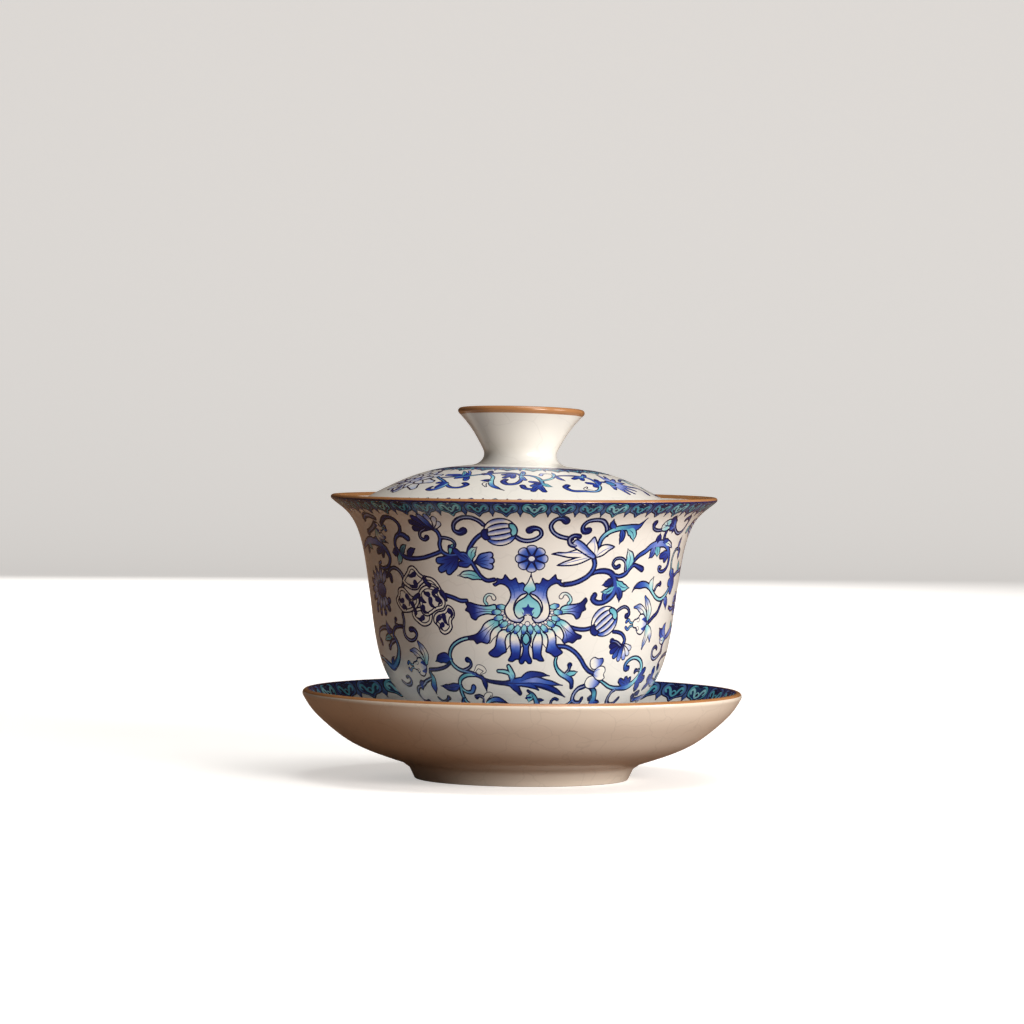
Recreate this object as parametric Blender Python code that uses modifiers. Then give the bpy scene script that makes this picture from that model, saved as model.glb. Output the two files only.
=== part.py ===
"""A gaiwan: a lidded porcelain tea bowl that stands on its own saucer.

Three pieces of fired porcelain, stacked on one upright axis, +Z: saucer, cup and lid. Nothing holds them
but their weight, so each lifts off the one below it. The origin is on the axis, in the plane that the
saucer's foot ring stands on. Lengths below are in millimetres; MM turns them into Blender's metres.
"""

import math

import bpy
import numpy as np

MM = 0.001
SEGMENTS = 48  # facets round each turned piece

# Clear space kept between two pieces that rest on each other.
SEAT_GAP = 0.3

# Saucer: a shallow dish on a foot ring, with a well that centres the cup.
SAUCER_RADIUS = 57.0
SAUCER_HEIGHT = 23.0
SAUCER_LIP = 2.2  # wall thickness at the lip
SAUCER_WALL = 3.0  # wall thickness at the dish's edge of the floor
SAUCER_FOOT_RADIUS = 27.7  # outside of the ring, where it meets the table
SAUCER_FOOT_LAND = 2.4  # width of the flat ring that it stands on
SAUCER_FOOT_HEIGHT = 3.9
SAUCER_UNDERSIDE = 3.2  # height of the floor's underside, inside the foot ring
WELL_RADIUS = 23.6
WELL_FLOOR = 6.0
FLOOR_HEIGHT = 7.4  # the dish's floor round the well

# Cup: an inverted bell with a flared lip, on a foot ring that stands in the saucer's well.
CUP_RADIUS = 50.1
CUP_HEIGHT = 73.5
CUP_LIP = 1.3
CUP_WALL = 3.0
CUP_BASE = WELL_FLOOR + SEAT_GAP
CUP_FOOT_RADIUS = 22.4
CUP_FOOT_LAND = 2.2
CUP_FOOT_TOP = 12.6
CUP_UNDERSIDE = 9.8
CUP_FLOOR = 13.2

# Lid: a low dome that sits inside the cup's flare, with a trumpet knob that is hollow from above.
LID_RADIUS = 43.1
LID_EDGE_HEIGHT = 70.0
LID_WALL = 2.0
LID_UNDERSIDE = 78.0  # height of the dome's inside, on the axis
KNOB_RADIUS = 16.4
KNOB_NECK = 9.4
KNOB_HEIGHT = 95.7
KNOB_LIP = 1.6
KNOB_FLOOR = 83.2

# The lid lies a little askew in the flare, raised at the front and at the left. It turns about the point
# where lines square to the seat meet, so that its edge stays on the seat, and it lies off to the left.
LID_TILT_FRONT = math.radians(3.0)
LID_TILT_LEFT = math.radians(0.8)
LID_TILT_CENTRE = 105.0
LID_SHIFT_LEFT = 0.8

GLAZE = (0.87, 0.82, 0.73)


def unit(vector):
    return np.asarray(vector, float) / np.linalg.norm(vector)


def spline(points, steps, start=None, end=None):
    """Points along the cubic spline through the given (radius, height) points.

    start and end are the directions in which it leaves its first point and reaches its last. An end
    without one is left free to run straight.
    """
    points = np.array(points, float)
    knots = np.concatenate([[0.0], np.cumsum(np.linalg.norm(np.diff(points, axis=0), axis=1))])
    gaps = np.diff(knots)
    slopes = np.diff(points, axis=0) / gaps[:, None]
    system = np.eye(len(points))
    target = np.zeros_like(points)
    for i in range(1, len(points) - 1):
        system[i, i - 1 : i + 2] = gaps[i - 1], 2 * (gaps[i - 1] + gaps[i]), gaps[i]
        target[i] = 6 * (slopes[i] - slopes[i - 1])
    if start is not None:
        system[0, :2] = 2 * gaps[0], gaps[0]
        target[0] = 6 * (slopes[0] - unit(start))
    if end is not None:
        system[-1, -2:] = gaps[-1], 2 * gaps[-1]
        target[-1] = 6 * (unit(end) - slopes[-1])
    bend = np.linalg.solve(system, target)

    at = np.linspace(0.0, knots[-1], steps + 1)
    i = np.clip(np.searchsorted(knots, at) - 1, 0, len(gaps) - 1)
    gap = gaps[i, None]
    before = (at - knots[i])[:, None]
    after = gap - before
    return (
        (bend[i] * after**3 + bend[i + 1] * before**3) / (6 * gap)
        + (points[i] / gap - bend[i] * gap / 6) * after
        + (points[i + 1] / gap - bend[i + 1] * gap / 6) * before
    )


def directions(points):
    """The curve's unit direction at each of its points."""
    run = np.gradient(points, axis=0)
    return run / np.linalg.norm(run, axis=1)[:, None]


def inside(outer, first_wall, last_wall):
    """The curve that runs inside an outer one, one wall away: first_wall at its start, last_wall at its end."""
    steps = np.linalg.norm(np.diff(outer, axis=0), axis=1)
    share = np.concatenate([[0.0], np.cumsum(steps)]) / steps.sum()
    wall = first_wall + (last_wall - first_wall) * share
    run = directions(outer)
    inward = np.stack([run[:, 1], -run[:, 0]], axis=1)
    return outer + inward * wall[:, None]


def rounded(start, end, steps):
    """The half circle that joins two faces of a wall, from start to end, clockwise."""
    centre = (start + end) / 2
    spoke = start - centre
    turns = -np.pi * np.arange(1, steps) / steps
    return np.array(
        [
            centre
            + [
                spoke[0] * np.cos(turn) - spoke[1] * np.sin(turn),
                spoke[0] * np.sin(turn) + spoke[1] * np.cos(turn),
            ]
            for turn in turns
        ]
    )


def fillet(before, corner, after, radius, steps):
    """The arc of this radius that rounds the corner between two straight runs."""
    corner = np.asarray(corner, float)
    back = unit(np.asarray(before, float) - corner)
    on = unit(np.asarray(after, float) - corner)
    half = math.acos(float(np.clip(back @ on, -1.0, 1.0))) / 2
    centre = corner + unit(back + on) * radius / math.sin(half)
    first = corner + back * radius / math.tan(half) - centre
    last = corner + on * radius / math.tan(half) - centre
    start = math.atan2(first[1], first[0])
    sweep = (math.atan2(last[1], last[0]) - start + math.pi) % (2 * math.pi) - math.pi
    turns = start + sweep * np.linspace(0.0, 1.0, steps + 1)
    return centre + radius * np.stack([np.cos(turns), np.sin(turns)], axis=1)


def foot_ring(top, radius, land, base, underside):
    """A foot ring's section, from where it leaves the body, round its flat land, to the axis below."""
    outer_corner = (radius, base)
    inner_corner = (radius - land, base)
    inner_top = (radius - land - 0.8, underside)
    return np.concatenate(
        [
            fillet(top, outer_corner, inner_corner, 0.4, 2),
            fillet(outer_corner, inner_corner, inner_top, 0.5, 2),
            fillet(inner_corner, inner_top, (0, underside), 1.2, 3),
            [(0, underside)],
        ]
    )


def glaze(name, colour, roughness):
    material = bpy.data.materials.new(name)
    material.use_nodes = True
    shader = material.node_tree.nodes["Principled BSDF"]
    shader.inputs["Base Color"].default_value = (*colour, 1.0)
    shader.inputs["Roughness"].default_value = roughness
    shader.inputs["Metallic"].default_value = 0.0
    shader.inputs["Coat Weight"].default_value = 0.6
    return material


def turned(name, profile, collection, material):
    """A closed turned solid. The profile starts and ends on the axis and runs down its outer side."""
    mesh = bpy.data.meshes.new(name)
    points = [(radius * MM, 0.0, height * MM) for radius, height in profile]
    mesh.from_pydata(points, [(i, i + 1) for i in range(len(points) - 1)], [])
    mesh.materials.append(material)
    piece = bpy.data.objects.new(name, mesh)
    collection.objects.link(piece)

    screw = piece.modifiers.new("Turn", "SCREW")
    screw.axis = "Z"
    screw.steps = SEGMENTS
    screw.render_steps = SEGMENTS
    screw.use_merge_vertices = True
    screw.merge_threshold = 0.00001
    screw.use_smooth_shade = True
    return piece


def saucer_profile():
    outer = spline(
        [
            (SAUCER_RADIUS - 0.1, SAUCER_HEIGHT - 1.6),
            (55.3, 18.8),
            (50.4, 13.8),
            (45.2, 9.9),
            (38.0, 6.6),
            (SAUCER_FOOT_RADIUS + 3.4, SAUCER_FOOT_HEIGHT + 0.4),
        ],
        10,
    )
    inner = inside(outer, SAUCER_LIP, SAUCER_WALL)
    # The dish's inside follows its wall down to the floor, which runs level to the well.
    inner = inner[inner[:, 1] > FLOOR_HEIGHT + 1.0]
    floor = spline(
        [inner[-1], (WELL_RADIUS + 3.0, FLOOR_HEIGHT)],
        3,
        start=inner[-1] - inner[-2],
        end=(-1, 0),
    )
    well = np.concatenate(
        [
            fillet((WELL_RADIUS + 3.0, FLOOR_HEIGHT), (WELL_RADIUS + 0.6, FLOOR_HEIGHT),
                   (WELL_RADIUS, WELL_FLOOR), 0.6, 2),
            fillet((WELL_RADIUS + 0.6, FLOOR_HEIGHT), (WELL_RADIUS, WELL_FLOOR), (0, WELL_FLOOR), 0.6, 2),
            [(0, WELL_FLOOR)],
        ]
    )
    foot = foot_ring(
        (SAUCER_FOOT_RADIUS + 1.4, SAUCER_FOOT_HEIGHT - 1.0),
        SAUCER_FOOT_RADIUS,
        SAUCER_FOOT_LAND,
        0.0,
        SAUCER_UNDERSIDE,
    )
    return np.concatenate(
        [
            well[::-1],
            floor[::-1],
            inner[-2::-1],
            rounded(inner[0], outer[0], 5),
            outer,
            [(SAUCER_FOOT_RADIUS + 1.4, SAUCER_FOOT_HEIGHT - 1.0)],
            foot,
        ]
    )


def cup_profile():
    outer = spline(
        [
            (CUP_RADIUS - 0.15, CUP_HEIGHT - 1.15),
            (45.8, 68.9),
            (42.4, 62.4),
            (41.0, 56.0),
            (39.0, 42.0),
            (37.2, 32.4),
            (34.4, 25.5),
            (29.4, 19.6),
            (CUP_FOOT_RADIUS + 1.4, CUP_FOOT_TOP + 2.0),
        ],
        15,
        start=(-1.0, -0.9),
    )
    inner = inside(outer, CUP_LIP, CUP_WALL)
    floor = spline(
        [inner[-1], (14.0, CUP_FLOOR + 0.5), (0.0, CUP_FLOOR)],
        4,
        start=inner[-1] - inner[-2],
        end=(-1, 0),
    )
    # A short hollow curve takes the belly into the foot ring.
    throat = fillet(outer[-1], (CUP_FOOT_RADIUS, CUP_FOOT_TOP), (CUP_FOOT_RADIUS, CUP_BASE), 1.2, 3)
    foot = foot_ring(
        (CUP_FOOT_RADIUS, CUP_FOOT_TOP),
        CUP_FOOT_RADIUS,
        CUP_FOOT_LAND,
        CUP_BASE,
        CUP_UNDERSIDE,
    )
    return np.concatenate(
        [floor[::-1], inner[-2::-1], rounded(inner[0], outer[0], 4), outer, throat, foot]
    )


def lid_profile():
    """The lid as it would lie level."""
    flare = spline(
        [
            (KNOB_RADIUS - 0.2, KNOB_HEIGHT - 1.1),
            (12.5, 90.2),
            (10.2, 86.3),
            (KNOB_NECK, 83.9),
            (10.6, 81.9),
            (13.4, 81.0),
        ],
        9,
        start=(-1.0, -1.0),
        end=(1.0, -0.12),
    )
    dome = spline(
        [
            flare[-1],
            (21.6, 79.8),
            (30.5, 76.8),
            (37.2, 73.4),
            (LID_RADIUS - 0.5, LID_EDGE_HEIGHT + 0.4),
        ],
        10,
        start=(1.0, -0.12),
    )
    cup_side = inside(flare[flare[:, 1] > KNOB_FLOOR + 2.4], KNOB_LIP, 2.0)
    hollow = spline([cup_side[-1], (4.5, KNOB_FLOOR + 0.2), (0, KNOB_FLOOR)], 3,
                    start=cup_side[-1] - cup_side[-2], end=(-1, 0))
    under = inside(dome, LID_WALL + 0.4, LID_WALL)[:0:-1]
    ceiling = spline([under[-1], (0, LID_UNDERSIDE)], 3, start=under[-1] - under[-2], end=(-1, 0))
    return np.concatenate(
        [
            hollow[:0:-1],
            cup_side[::-1],
            rounded(cup_side[0], flare[0], 5),
            flare,
            dome[1:],
            rounded(dome[-1], under[0], 5),
            under[:-1],
            ceiling,
        ]
    )


def main():
    for old in list(bpy.data.objects):
        bpy.data.objects.remove(old, do_unlink=True)
    gaiwan = bpy.data.collections.new("gaiwan")
    bpy.context.scene.collection.children.link(gaiwan)

    turned("saucer", saucer_profile(), gaiwan, glaze("saucer_glaze", GLAZE, 0.22))
    turned("cup", cup_profile(), gaiwan, glaze("cup_glaze", GLAZE, 0.18))

    # The lid hangs from an empty at the centre that it tilts about.
    tilt = bpy.data.objects.new("lid_tilt_centre", None)
    tilt.location = (-LID_SHIFT_LEFT * MM, 0.0, LID_TILT_CENTRE * MM)
    tilt.rotation_euler = (-LID_TILT_FRONT, LID_TILT_LEFT, 0.0)
    gaiwan.objects.link(tilt)
    lid = turned("lid", lid_profile(), gaiwan, glaze("lid_glaze", GLAZE, 0.18))
    lid.parent = tilt
    lid.location = (0.0, 0.0, -LID_TILT_CENTRE * MM)


main()
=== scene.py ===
"""The looks of a gaiwan: a lidded tea bowl on its saucer, ivory glaze with painted lotus scrolls.

Each painted surface is drawn flat, in millimetres, as strokes and closed shapes. The drawing is cut into
triangles along its own outlines and wrapped round the turned shape, so the painting is part of the mesh.
Lengths are in millimetres until a mesh is made, when MM turns them into metres.
"""

import math

import bpy
import numpy as np
from mathutils import Euler, Matrix, Vector
from mathutils.geometry import delaunay_2d_cdt


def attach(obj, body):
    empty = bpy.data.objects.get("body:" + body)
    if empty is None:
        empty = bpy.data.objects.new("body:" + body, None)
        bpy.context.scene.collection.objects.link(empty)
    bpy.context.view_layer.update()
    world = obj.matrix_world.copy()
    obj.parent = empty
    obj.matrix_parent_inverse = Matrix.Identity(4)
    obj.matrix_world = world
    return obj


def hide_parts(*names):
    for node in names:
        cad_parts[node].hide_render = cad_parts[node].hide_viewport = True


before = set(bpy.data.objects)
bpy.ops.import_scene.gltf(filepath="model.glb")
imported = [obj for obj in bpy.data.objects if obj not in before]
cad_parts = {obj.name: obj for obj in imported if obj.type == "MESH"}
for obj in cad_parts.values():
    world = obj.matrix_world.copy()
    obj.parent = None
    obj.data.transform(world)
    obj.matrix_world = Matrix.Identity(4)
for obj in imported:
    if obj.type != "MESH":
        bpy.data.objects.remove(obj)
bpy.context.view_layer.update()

MM = 0.001

# ---------------------------------------------------------------- colours, as seen, before light

GLAZE = (0.905, 0.895, 0.868)
IVORY = (0.900, 0.852, 0.788)
INK = (0.030, 0.070, 0.250)
NAVY = (0.050, 0.105, 0.370)
COBALT = (0.090, 0.180, 0.540)
BLUE = (0.200, 0.345, 0.710)
LILAC = (0.520, 0.590, 0.860)
SLATE = (0.300, 0.440, 0.660)
PALE = (0.760, 0.800, 0.900)
WHITE = (0.940, 0.925, 0.890)
TURQUOISE = (0.340, 0.660, 0.740)
AQUA = (0.560, 0.820, 0.860)
TEAL = (0.070, 0.260, 0.400)
BROWN = (0.700, 0.490, 0.310)

# Washes, from the start of a stroke to its end.
DEEP = (NAVY, COBALT)
ROYAL = (COBALT, BLUE)
NIGHTFALL = (BLUE, COBALT)
SHADE = (COBALT, NAVY)
STORM = (BLUE, NAVY)
HEATHER = (LILAC, NAVY)
DAYBREAK = (NAVY, BLUE)
BROOK = (AQUA, BLUE)
SEA = (TURQUOISE, AQUA)
SNOW = (WHITE, WHITE)
DUSK = (NAVY, BLUE, LILAC)
GULF = (BLUE, COBALT, NAVY)
WAVE = (TURQUOISE, AQUA, WHITE)
FROST = (AQUA, WHITE, LILAC)
MIST = (WHITE, WHITE, LILAC)
RIB = (NAVY, WHITE, PALE)
PLUME = (NAVY, BLUE, LILAC, BLUE, COBALT, LILAC)

INK_LINE = 0.41  # width of the outline round a shape
BRUSH = 1.1  # every stroke's width is multiplied by this
SAMPLE = 0.42  # longest step along a curve
WELD = 1e-4  # drawn points this close become one
SLIVER = 1e-7  # a triangle of the drawing smaller than this is left out
ON_AXIS = 1e-6  # a radius below this counts as none


def linear(colour):
    """A colour as seen, turned into the linear values that a shader works in."""
    colour = np.asarray(colour, float)
    return np.where(colour <= 0.04045, colour / 12.92, ((colour + 0.055) / 1.055) ** 2.4)


def ramp(colours, share):
    """Colours spread evenly over 0 to 1, read at each share."""
    colours = np.array(colours, float)
    if colours.ndim == 1:
        colours = colours[None, :]
    stops = np.linspace(0.0, 1.0, len(colours))
    return np.stack([np.interp(share, stops, colours[:, i]) for i in range(3)], axis=-1)


def mixed(colours, other, share):
    """The colours, each moved towards another one."""
    return tuple(tuple((1 - share) * np.array(colour) + share * np.array(other)) for colour in colours)


# ---------------------------------------------------------------- curves on the flat


def unit(vector):
    return np.asarray(vector, float) / np.linalg.norm(vector)


def curve(points, closed=False, step=SAMPLE):
    """A smooth line through the points. Returns its samples and how far along each lies, from 0 to 1."""
    points = np.array(points, float)
    if closed:
        points = np.vstack([points[-1:], points, points[:2]])
    else:
        points = np.vstack([2 * points[0] - points[1], points, 2 * points[-1] - points[-2]])
    gaps = np.linalg.norm(np.diff(points, axis=0), axis=1)
    knots = np.concatenate([[0.0], np.cumsum(gaps**0.5 + 1e-9)])
    samples = []
    for i in range(1, len(points) - 2):
        count = max(2, int(math.ceil(np.linalg.norm(points[i + 1] - points[i]) / step)))
        at = np.linspace(knots[i], knots[i + 1], count, endpoint=False)[:, None]
        k, p = knots[i - 1 : i + 3], points[i - 1 : i + 3]
        a = [((k[j + 1] - at) * p[j] + (at - k[j]) * p[j + 1]) / (k[j + 1] - k[j]) for j in range(3)]
        b = [((k[j + 2] - at) * a[j] + (at - k[j]) * a[j + 1]) / (k[j + 2] - k[j]) for j in range(2)]
        samples.append(((k[2] - at) * b[0] + (at - k[1]) * b[1]) / (k[2] - k[1]))
    if not closed:
        samples.append(points[-2:-1])
    samples = np.concatenate(samples)
    run = np.concatenate([[0.0], np.cumsum(np.linalg.norm(np.diff(samples, axis=0), axis=1))])
    return samples, run / run[-1]


def normals(points, closed=False):
    """The unit vector square to a line, on its left, at each of its points."""
    if closed:
        run = np.roll(points, -1, axis=0) - np.roll(points, 1, axis=0)
    else:
        run = np.gradient(points, axis=0)
    run = run / (np.linalg.norm(run, axis=1)[:, None] + 1e-12)
    return np.stack([-run[:, 1], run[:, 0]], axis=1)


def widths_at(widths, share):
    """Widths spread evenly along a line, blended softly from one to the next."""
    widths = np.atleast_1d(np.array(widths, float))
    if len(widths) == 1:
        return np.full(len(share), widths[0])
    place = np.clip(share, 0.0, 1.0) * (len(widths) - 1)
    i = np.minimum(place.astype(int), len(widths) - 2)
    t = place - i
    t = t * t * (3 - 2 * t)
    return widths[i] * (1 - t) + widths[i + 1] * t


def ribbon(centre, width):
    """The outline of a stroke with this centre line and these widths, with round ends."""
    side = normals(centre)
    half = width[:, None] / 2
    left, right = centre + side * half, centre - side * half
    caps = []
    for at in (-1, 0):
        radius = width[at] / 2
        turns = math.pi * np.arange(1, 5) / 5
        base = side[at] * (1 if at == -1 else -1)
        forward = np.array([base[1], -base[0]])
        caps.append(centre[at] + radius * (np.cos(turns)[:, None] * base + np.sin(turns)[:, None] * forward))
    return np.concatenate([left, caps[0], right[::-1], caps[1]])


def area(outline):
    x, y = outline.T
    return 0.5 * float(np.sum(x * np.roll(y, -1) - np.roll(x, -1) * y))


def inset(outline, by):
    """A closed outline, run anticlockwise, moved inwards by this much."""
    return outline + normals(outline, closed=True) * by


def turned_about(points, degrees, about=(0.0, 0.0)):
    angle = math.radians(degrees)
    c, s = math.cos(angle), math.sin(angle)
    about = np.asarray(about, float)
    return (np.asarray(points, float) - about) @ np.array([[c, s], [-s, c]]) + about


# ---------------------------------------------------------------- the sheet that drawings are made on


class Sheet:
    """A flat drawing that repeats sideways every `width`. Later groups lie over earlier ones.

    In a group every ink outline lies under every fill, so shapes that meet run into each other.
    place is the map that a motif's own coordinates go through before they reach the sheet.
    """

    def __init__(self, width, low, high, grid):
        self.width, self.low, self.high, self.grid = width, low, high, grid
        self.shapes = []
        self.group = 0
        self.place = lambda points: points
        self.line, self.brush = INK_LINE, BRUSH

    def next(self):
        self.group += 1

    def add(self, outline, guide, colours, level):
        outline = self.place(outline)
        guide = self.place(guide)
        if area(outline) < 0:
            outline = outline[::-1]
        for shift in (-self.width, 0.0, self.width):
            move = np.array([shift, 0.0])
            moved = outline + move
            low, high = moved.min(0), moved.max(0)
            across = low[0] < self.width / 2 and high[0] > -self.width / 2
            if across and high[1] > self.low and low[1] < self.high:
                self.shapes.append((self.group, level, len(self.shapes), moved, guide + move, colours))

    def stroke(self, points, widths, colours, ink=INK, line=None, level=0, core=None, fade=()):
        """A brush stroke: an ink outline, a fill, and maybe a lighter core whose last widths are `fade`."""
        centre, share = curve(points)
        width = widths_at(widths, share) * self.brush
        line = line or self.line
        if ink is not None:
            self.add(ribbon(centre, width), centre, ramp(ink, share), 3 * level)
        inner = np.maximum(width - 2 * line, 0.06) if ink is not None else width
        self.add(ribbon(centre, inner), centre, ramp(colours, share), 3 * level + 1)
        if core is not None:
            thin = np.maximum(inner * widths_at((0.3, 0.62, 0.62) + tuple(fade), share), 0.05)
            self.add(ribbon(centre, thin), centre, ramp(core, share), 3 * level + 1)

    def vein(self, points, width=0.22, colours=NAVY):
        """A thin inner line. It tapers to half its width at both ends."""
        centre, share = curve(points)
        width = widths_at([width * 0.5, width, width * 0.5], share)
        self.add(ribbon(centre, width), centre, ramp(colours, share), 2)

    def blob(self, points, colours, axis=None, ink=INK, line=INK_LINE, level=0, top=False):
        """A closed shape through the points, with colours that run from the axis's start to its end."""
        outline, _ = curve(points, closed=True)
        if area(outline) < 0:
            outline = outline[::-1]
        if axis is None:
            axis = (outline[np.argmax(outline[:, 1])], outline[np.argmin(outline[:, 1])])
        share = np.linspace(0.0, 1.0, 17)
        guide = np.outer(1 - share, axis[0]) + np.outer(share, axis[1])
        if ink is not None:
            self.add(outline, guide, ramp(ink, share), 3 * level)
            outline = inset(outline, line)
        self.add(outline, guide, ramp(colours, share), 3 * level + (2 if top else 1))

    def band(self, low, high, colours):
        """A plain stripe right round the shape."""
        across = np.linspace(-self.width, self.width, 2 * max(4, int(round(self.width / self.grid))) + 1)
        bottom = np.stack([across, np.full(len(across), low)], axis=1)
        top = np.stack([across[::-1], np.full(len(across), high)], axis=1)
        outline = np.concatenate([bottom, top])
        shade = ramp(colours, np.zeros(1))
        self.shapes.append((self.group, 0, len(self.shapes), outline, outline[:1], shade))

    def shape_line(self, loop, width, colours):
        """A closed line of even width."""
        loop = np.vstack([loop, loop[:1]])
        shades = ramp(colours, np.linspace(0, 1, len(loop)))
        self.add(ribbon(loop, np.full(len(loop), width)), loop, shades, 2)

    def dot(self, centre, radius, colours, ink=None, line=INK_LINE, level=0, tall=1.0, top=True):
        turns = 2 * math.pi * np.arange(12) / 12
        ring = np.stack([np.cos(turns), tall * np.sin(turns)], axis=1) * radius + np.asarray(centre, float)
        self.blob(ring, colours, ink=ink, line=line, level=level, top=top)

    def triangles(self):
        """The sheet cut along every outline: points, triangles, and the linear colour of each corner."""
        across = max(2, int(round(self.width / self.grid)))
        up = max(2, int(round((self.high - self.low) / self.grid)))
        xs = np.linspace(-self.width / 2, self.width / 2, across + 1)
        ys = np.linspace(self.low, self.high, up + 1)
        points = [np.stack(np.meshgrid(xs, ys), axis=-1).reshape(-1, 2)]
        count = len(points[0])
        corners = [0, across, count - 1, count - 1 - across]
        edges = [np.stack([corners, np.roll(corners, -1)], axis=1)]
        shapes = sorted(self.shapes, key=lambda shape: shape[:3])
        for *_, outline, _, _ in shapes:
            index = count + np.arange(len(outline))
            edges.append(np.stack([index, np.roll(index, -1)], axis=1))
            points.append(outline)
            count += len(outline)
        points = np.concatenate(points)
        edges = np.concatenate(edges)
        points = [Vector(p) for p in points]
        verts, _, faces, *_ = delaunay_2d_cdt(points, edges.tolist(), [], 0, WELD, False)
        verts = np.array([tuple(v) for v in verts])
        faces = np.array(faces, int)
        centre = verts[faces].mean(axis=1)
        kept = (abs(centre[:, 0]) < self.width / 2) & (centre[:, 1] > self.low) & (centre[:, 1] < self.high)
        faces, centre = faces[kept], centre[kept]
        a, b, c = (verts[faces[:, i]] for i in range(3))
        turn = (b[:, 0] - a[:, 0]) * (c[:, 1] - a[:, 1]) - (b[:, 1] - a[:, 1]) * (c[:, 0] - a[:, 0])
        kept = abs(turn) > SLIVER
        faces, centre = faces[kept], centre[kept]
        faces[turn[kept] < 0] = faces[turn[kept] < 0][:, ::-1]

        top = np.full(len(faces), -1)
        order = np.argsort(centre[:, 0])
        sorted_x = centre[order, 0]
        for number, (*_, outline, _, _) in enumerate(shapes):
            first = np.searchsorted(sorted_x, outline[:, 0].min())
            last = np.searchsorted(sorted_x, outline[:, 0].max())
            near = order[first:last]
            y = centre[near, 1]
            near = near[(y > outline[:, 1].min()) & (y < outline[:, 1].max())]
            top[near[winding(outline, centre[near]) > 0]] = number
        colours = np.tile(linear(GLAZE), (len(faces), 3, 1))
        for number, (*_, guide, shades) in enumerate(shapes):
            mine = np.nonzero(top == number)[0]
            if not len(mine):
                continue
            at = verts[faces[mine]].reshape(-1, 1, 2)
            nearest = np.argmin(((at - guide[None]) ** 2).sum(-1), axis=1)
            colours[mine] = linear(shades[nearest]).reshape(-1, 3, 3)
        return verts, faces, colours


def winding(outline, points):
    """How many times the outline runs anticlockwise round each point."""
    a, b = outline, np.roll(outline, -1, axis=0)
    y = points[:, 1, None]
    side = (b[:, 0] - a[:, 0]) * (y - a[:, 1]) - (points[:, 0, None] - a[:, 0]) * (b[:, 1] - a[:, 1])
    up = (a[:, 1] <= y) & (b[:, 1] > y) & (side > 0)
    down = (a[:, 1] > y) & (b[:, 1] <= y) & (side < 0)
    return up.sum(axis=1) - down.sum(axis=1)


# ---------------------------------------------------------------- turned shapes

SEAT_GAP = 0.3

SAUCER_RADIUS = 57.0
SAUCER_HEIGHT = 23.0
SAUCER_LIP = 2.2
SAUCER_WALL = 3.0
SAUCER_FOOT_RADIUS = 27.7
SAUCER_FOOT_LAND = 2.4
SAUCER_FOOT_HEIGHT = 3.9
SAUCER_UNDERSIDE = 3.2
SAUCER_BROWN = 0.55
WELL_RADIUS = 23.6
WELL_FLOOR = 6.0
FLOOR_HEIGHT = 7.4

CUP_RADIUS = 50.1
CUP_HEIGHT = 73.5
CUP_LIP = 1.3
CUP_WALL = 3.0
CUP_BASE = WELL_FLOOR + SEAT_GAP
CUP_FOOT_RADIUS = 22.4
CUP_FOOT_LAND = 2.2
CUP_FOOT_TOP = 12.6
CUP_UNDERSIDE = 9.8
CUP_FLOOR = 13.2

LID_RADIUS = 43.1
LID_EDGE_HEIGHT = 70.0
LID_WALL = 2.0
LID_UNDERSIDE = 78.0
KNOB_RADIUS = 16.4
KNOB_NECK = 9.4
KNOB_HEIGHT = 95.7
KNOB_LIP = 1.6
KNOB_FLOOR = 83.2

# The lid lies askew in the cup's flare, as its CAD solid does: raised at the front and at the left.
LID_LEAN = (
    Matrix.Translation((-0.8 * MM, 0.0, 105.0 * MM))
    @ Euler((math.radians(-3.0), math.radians(0.8), 0.0)).to_matrix().to_4x4()
    @ Matrix.Translation((0.0, 0.0, -105.0 * MM))
)


def spline(points, steps, start=None, end=None):
    """Points along the cubic spline through the given (radius, height) points.

    start and end are the directions in which it leaves its first point and reaches its last.
    """
    points = np.array(points, float)
    knots = np.concatenate([[0.0], np.cumsum(np.linalg.norm(np.diff(points, axis=0), axis=1))])
    gaps = np.diff(knots)
    slopes = np.diff(points, axis=0) / gaps[:, None]
    system = np.eye(len(points))
    target = np.zeros_like(points)
    for i in range(1, len(points) - 1):
        system[i, i - 1 : i + 2] = gaps[i - 1], 2 * (gaps[i - 1] + gaps[i]), gaps[i]
        target[i] = 6 * (slopes[i] - slopes[i - 1])
    if start is not None:
        system[0, :2] = 2 * gaps[0], gaps[0]
        target[0] = 6 * (slopes[0] - unit(start))
    if end is not None:
        system[-1, -2:] = gaps[-1], 2 * gaps[-1]
        target[-1] = 6 * (unit(end) - slopes[-1])
    bend = np.linalg.solve(system, target)
    at = np.linspace(0.0, knots[-1], steps + 1)
    i = np.clip(np.searchsorted(knots, at) - 1, 0, len(gaps) - 1)
    gap = gaps[i, None]
    before = (at - knots[i])[:, None]
    after = gap - before
    return (
        (bend[i] * after**3 + bend[i + 1] * before**3) / (6 * gap)
        + (points[i] / gap - bend[i] * gap / 6) * after
        + (points[i + 1] / gap - bend[i + 1] * gap / 6) * before
    )


def inside(outer, first_wall, last_wall):
    """The curve one wall inside an outer one: first_wall at its start, last_wall at its end."""
    steps = np.linalg.norm(np.diff(outer, axis=0), axis=1)
    share = np.concatenate([[0.0], np.cumsum(steps)]) / steps.sum()
    wall = first_wall + (last_wall - first_wall) * share
    return outer - normals(outer) * wall[:, None]


def rounded(start, end, steps=10):
    """The half circle that joins two faces of a wall, from start to end, clockwise, both ends left out."""
    centre = (start + end) / 2
    return np.array([turned_about(start, -180.0 * i / steps, centre) for i in range(1, steps)])


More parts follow.
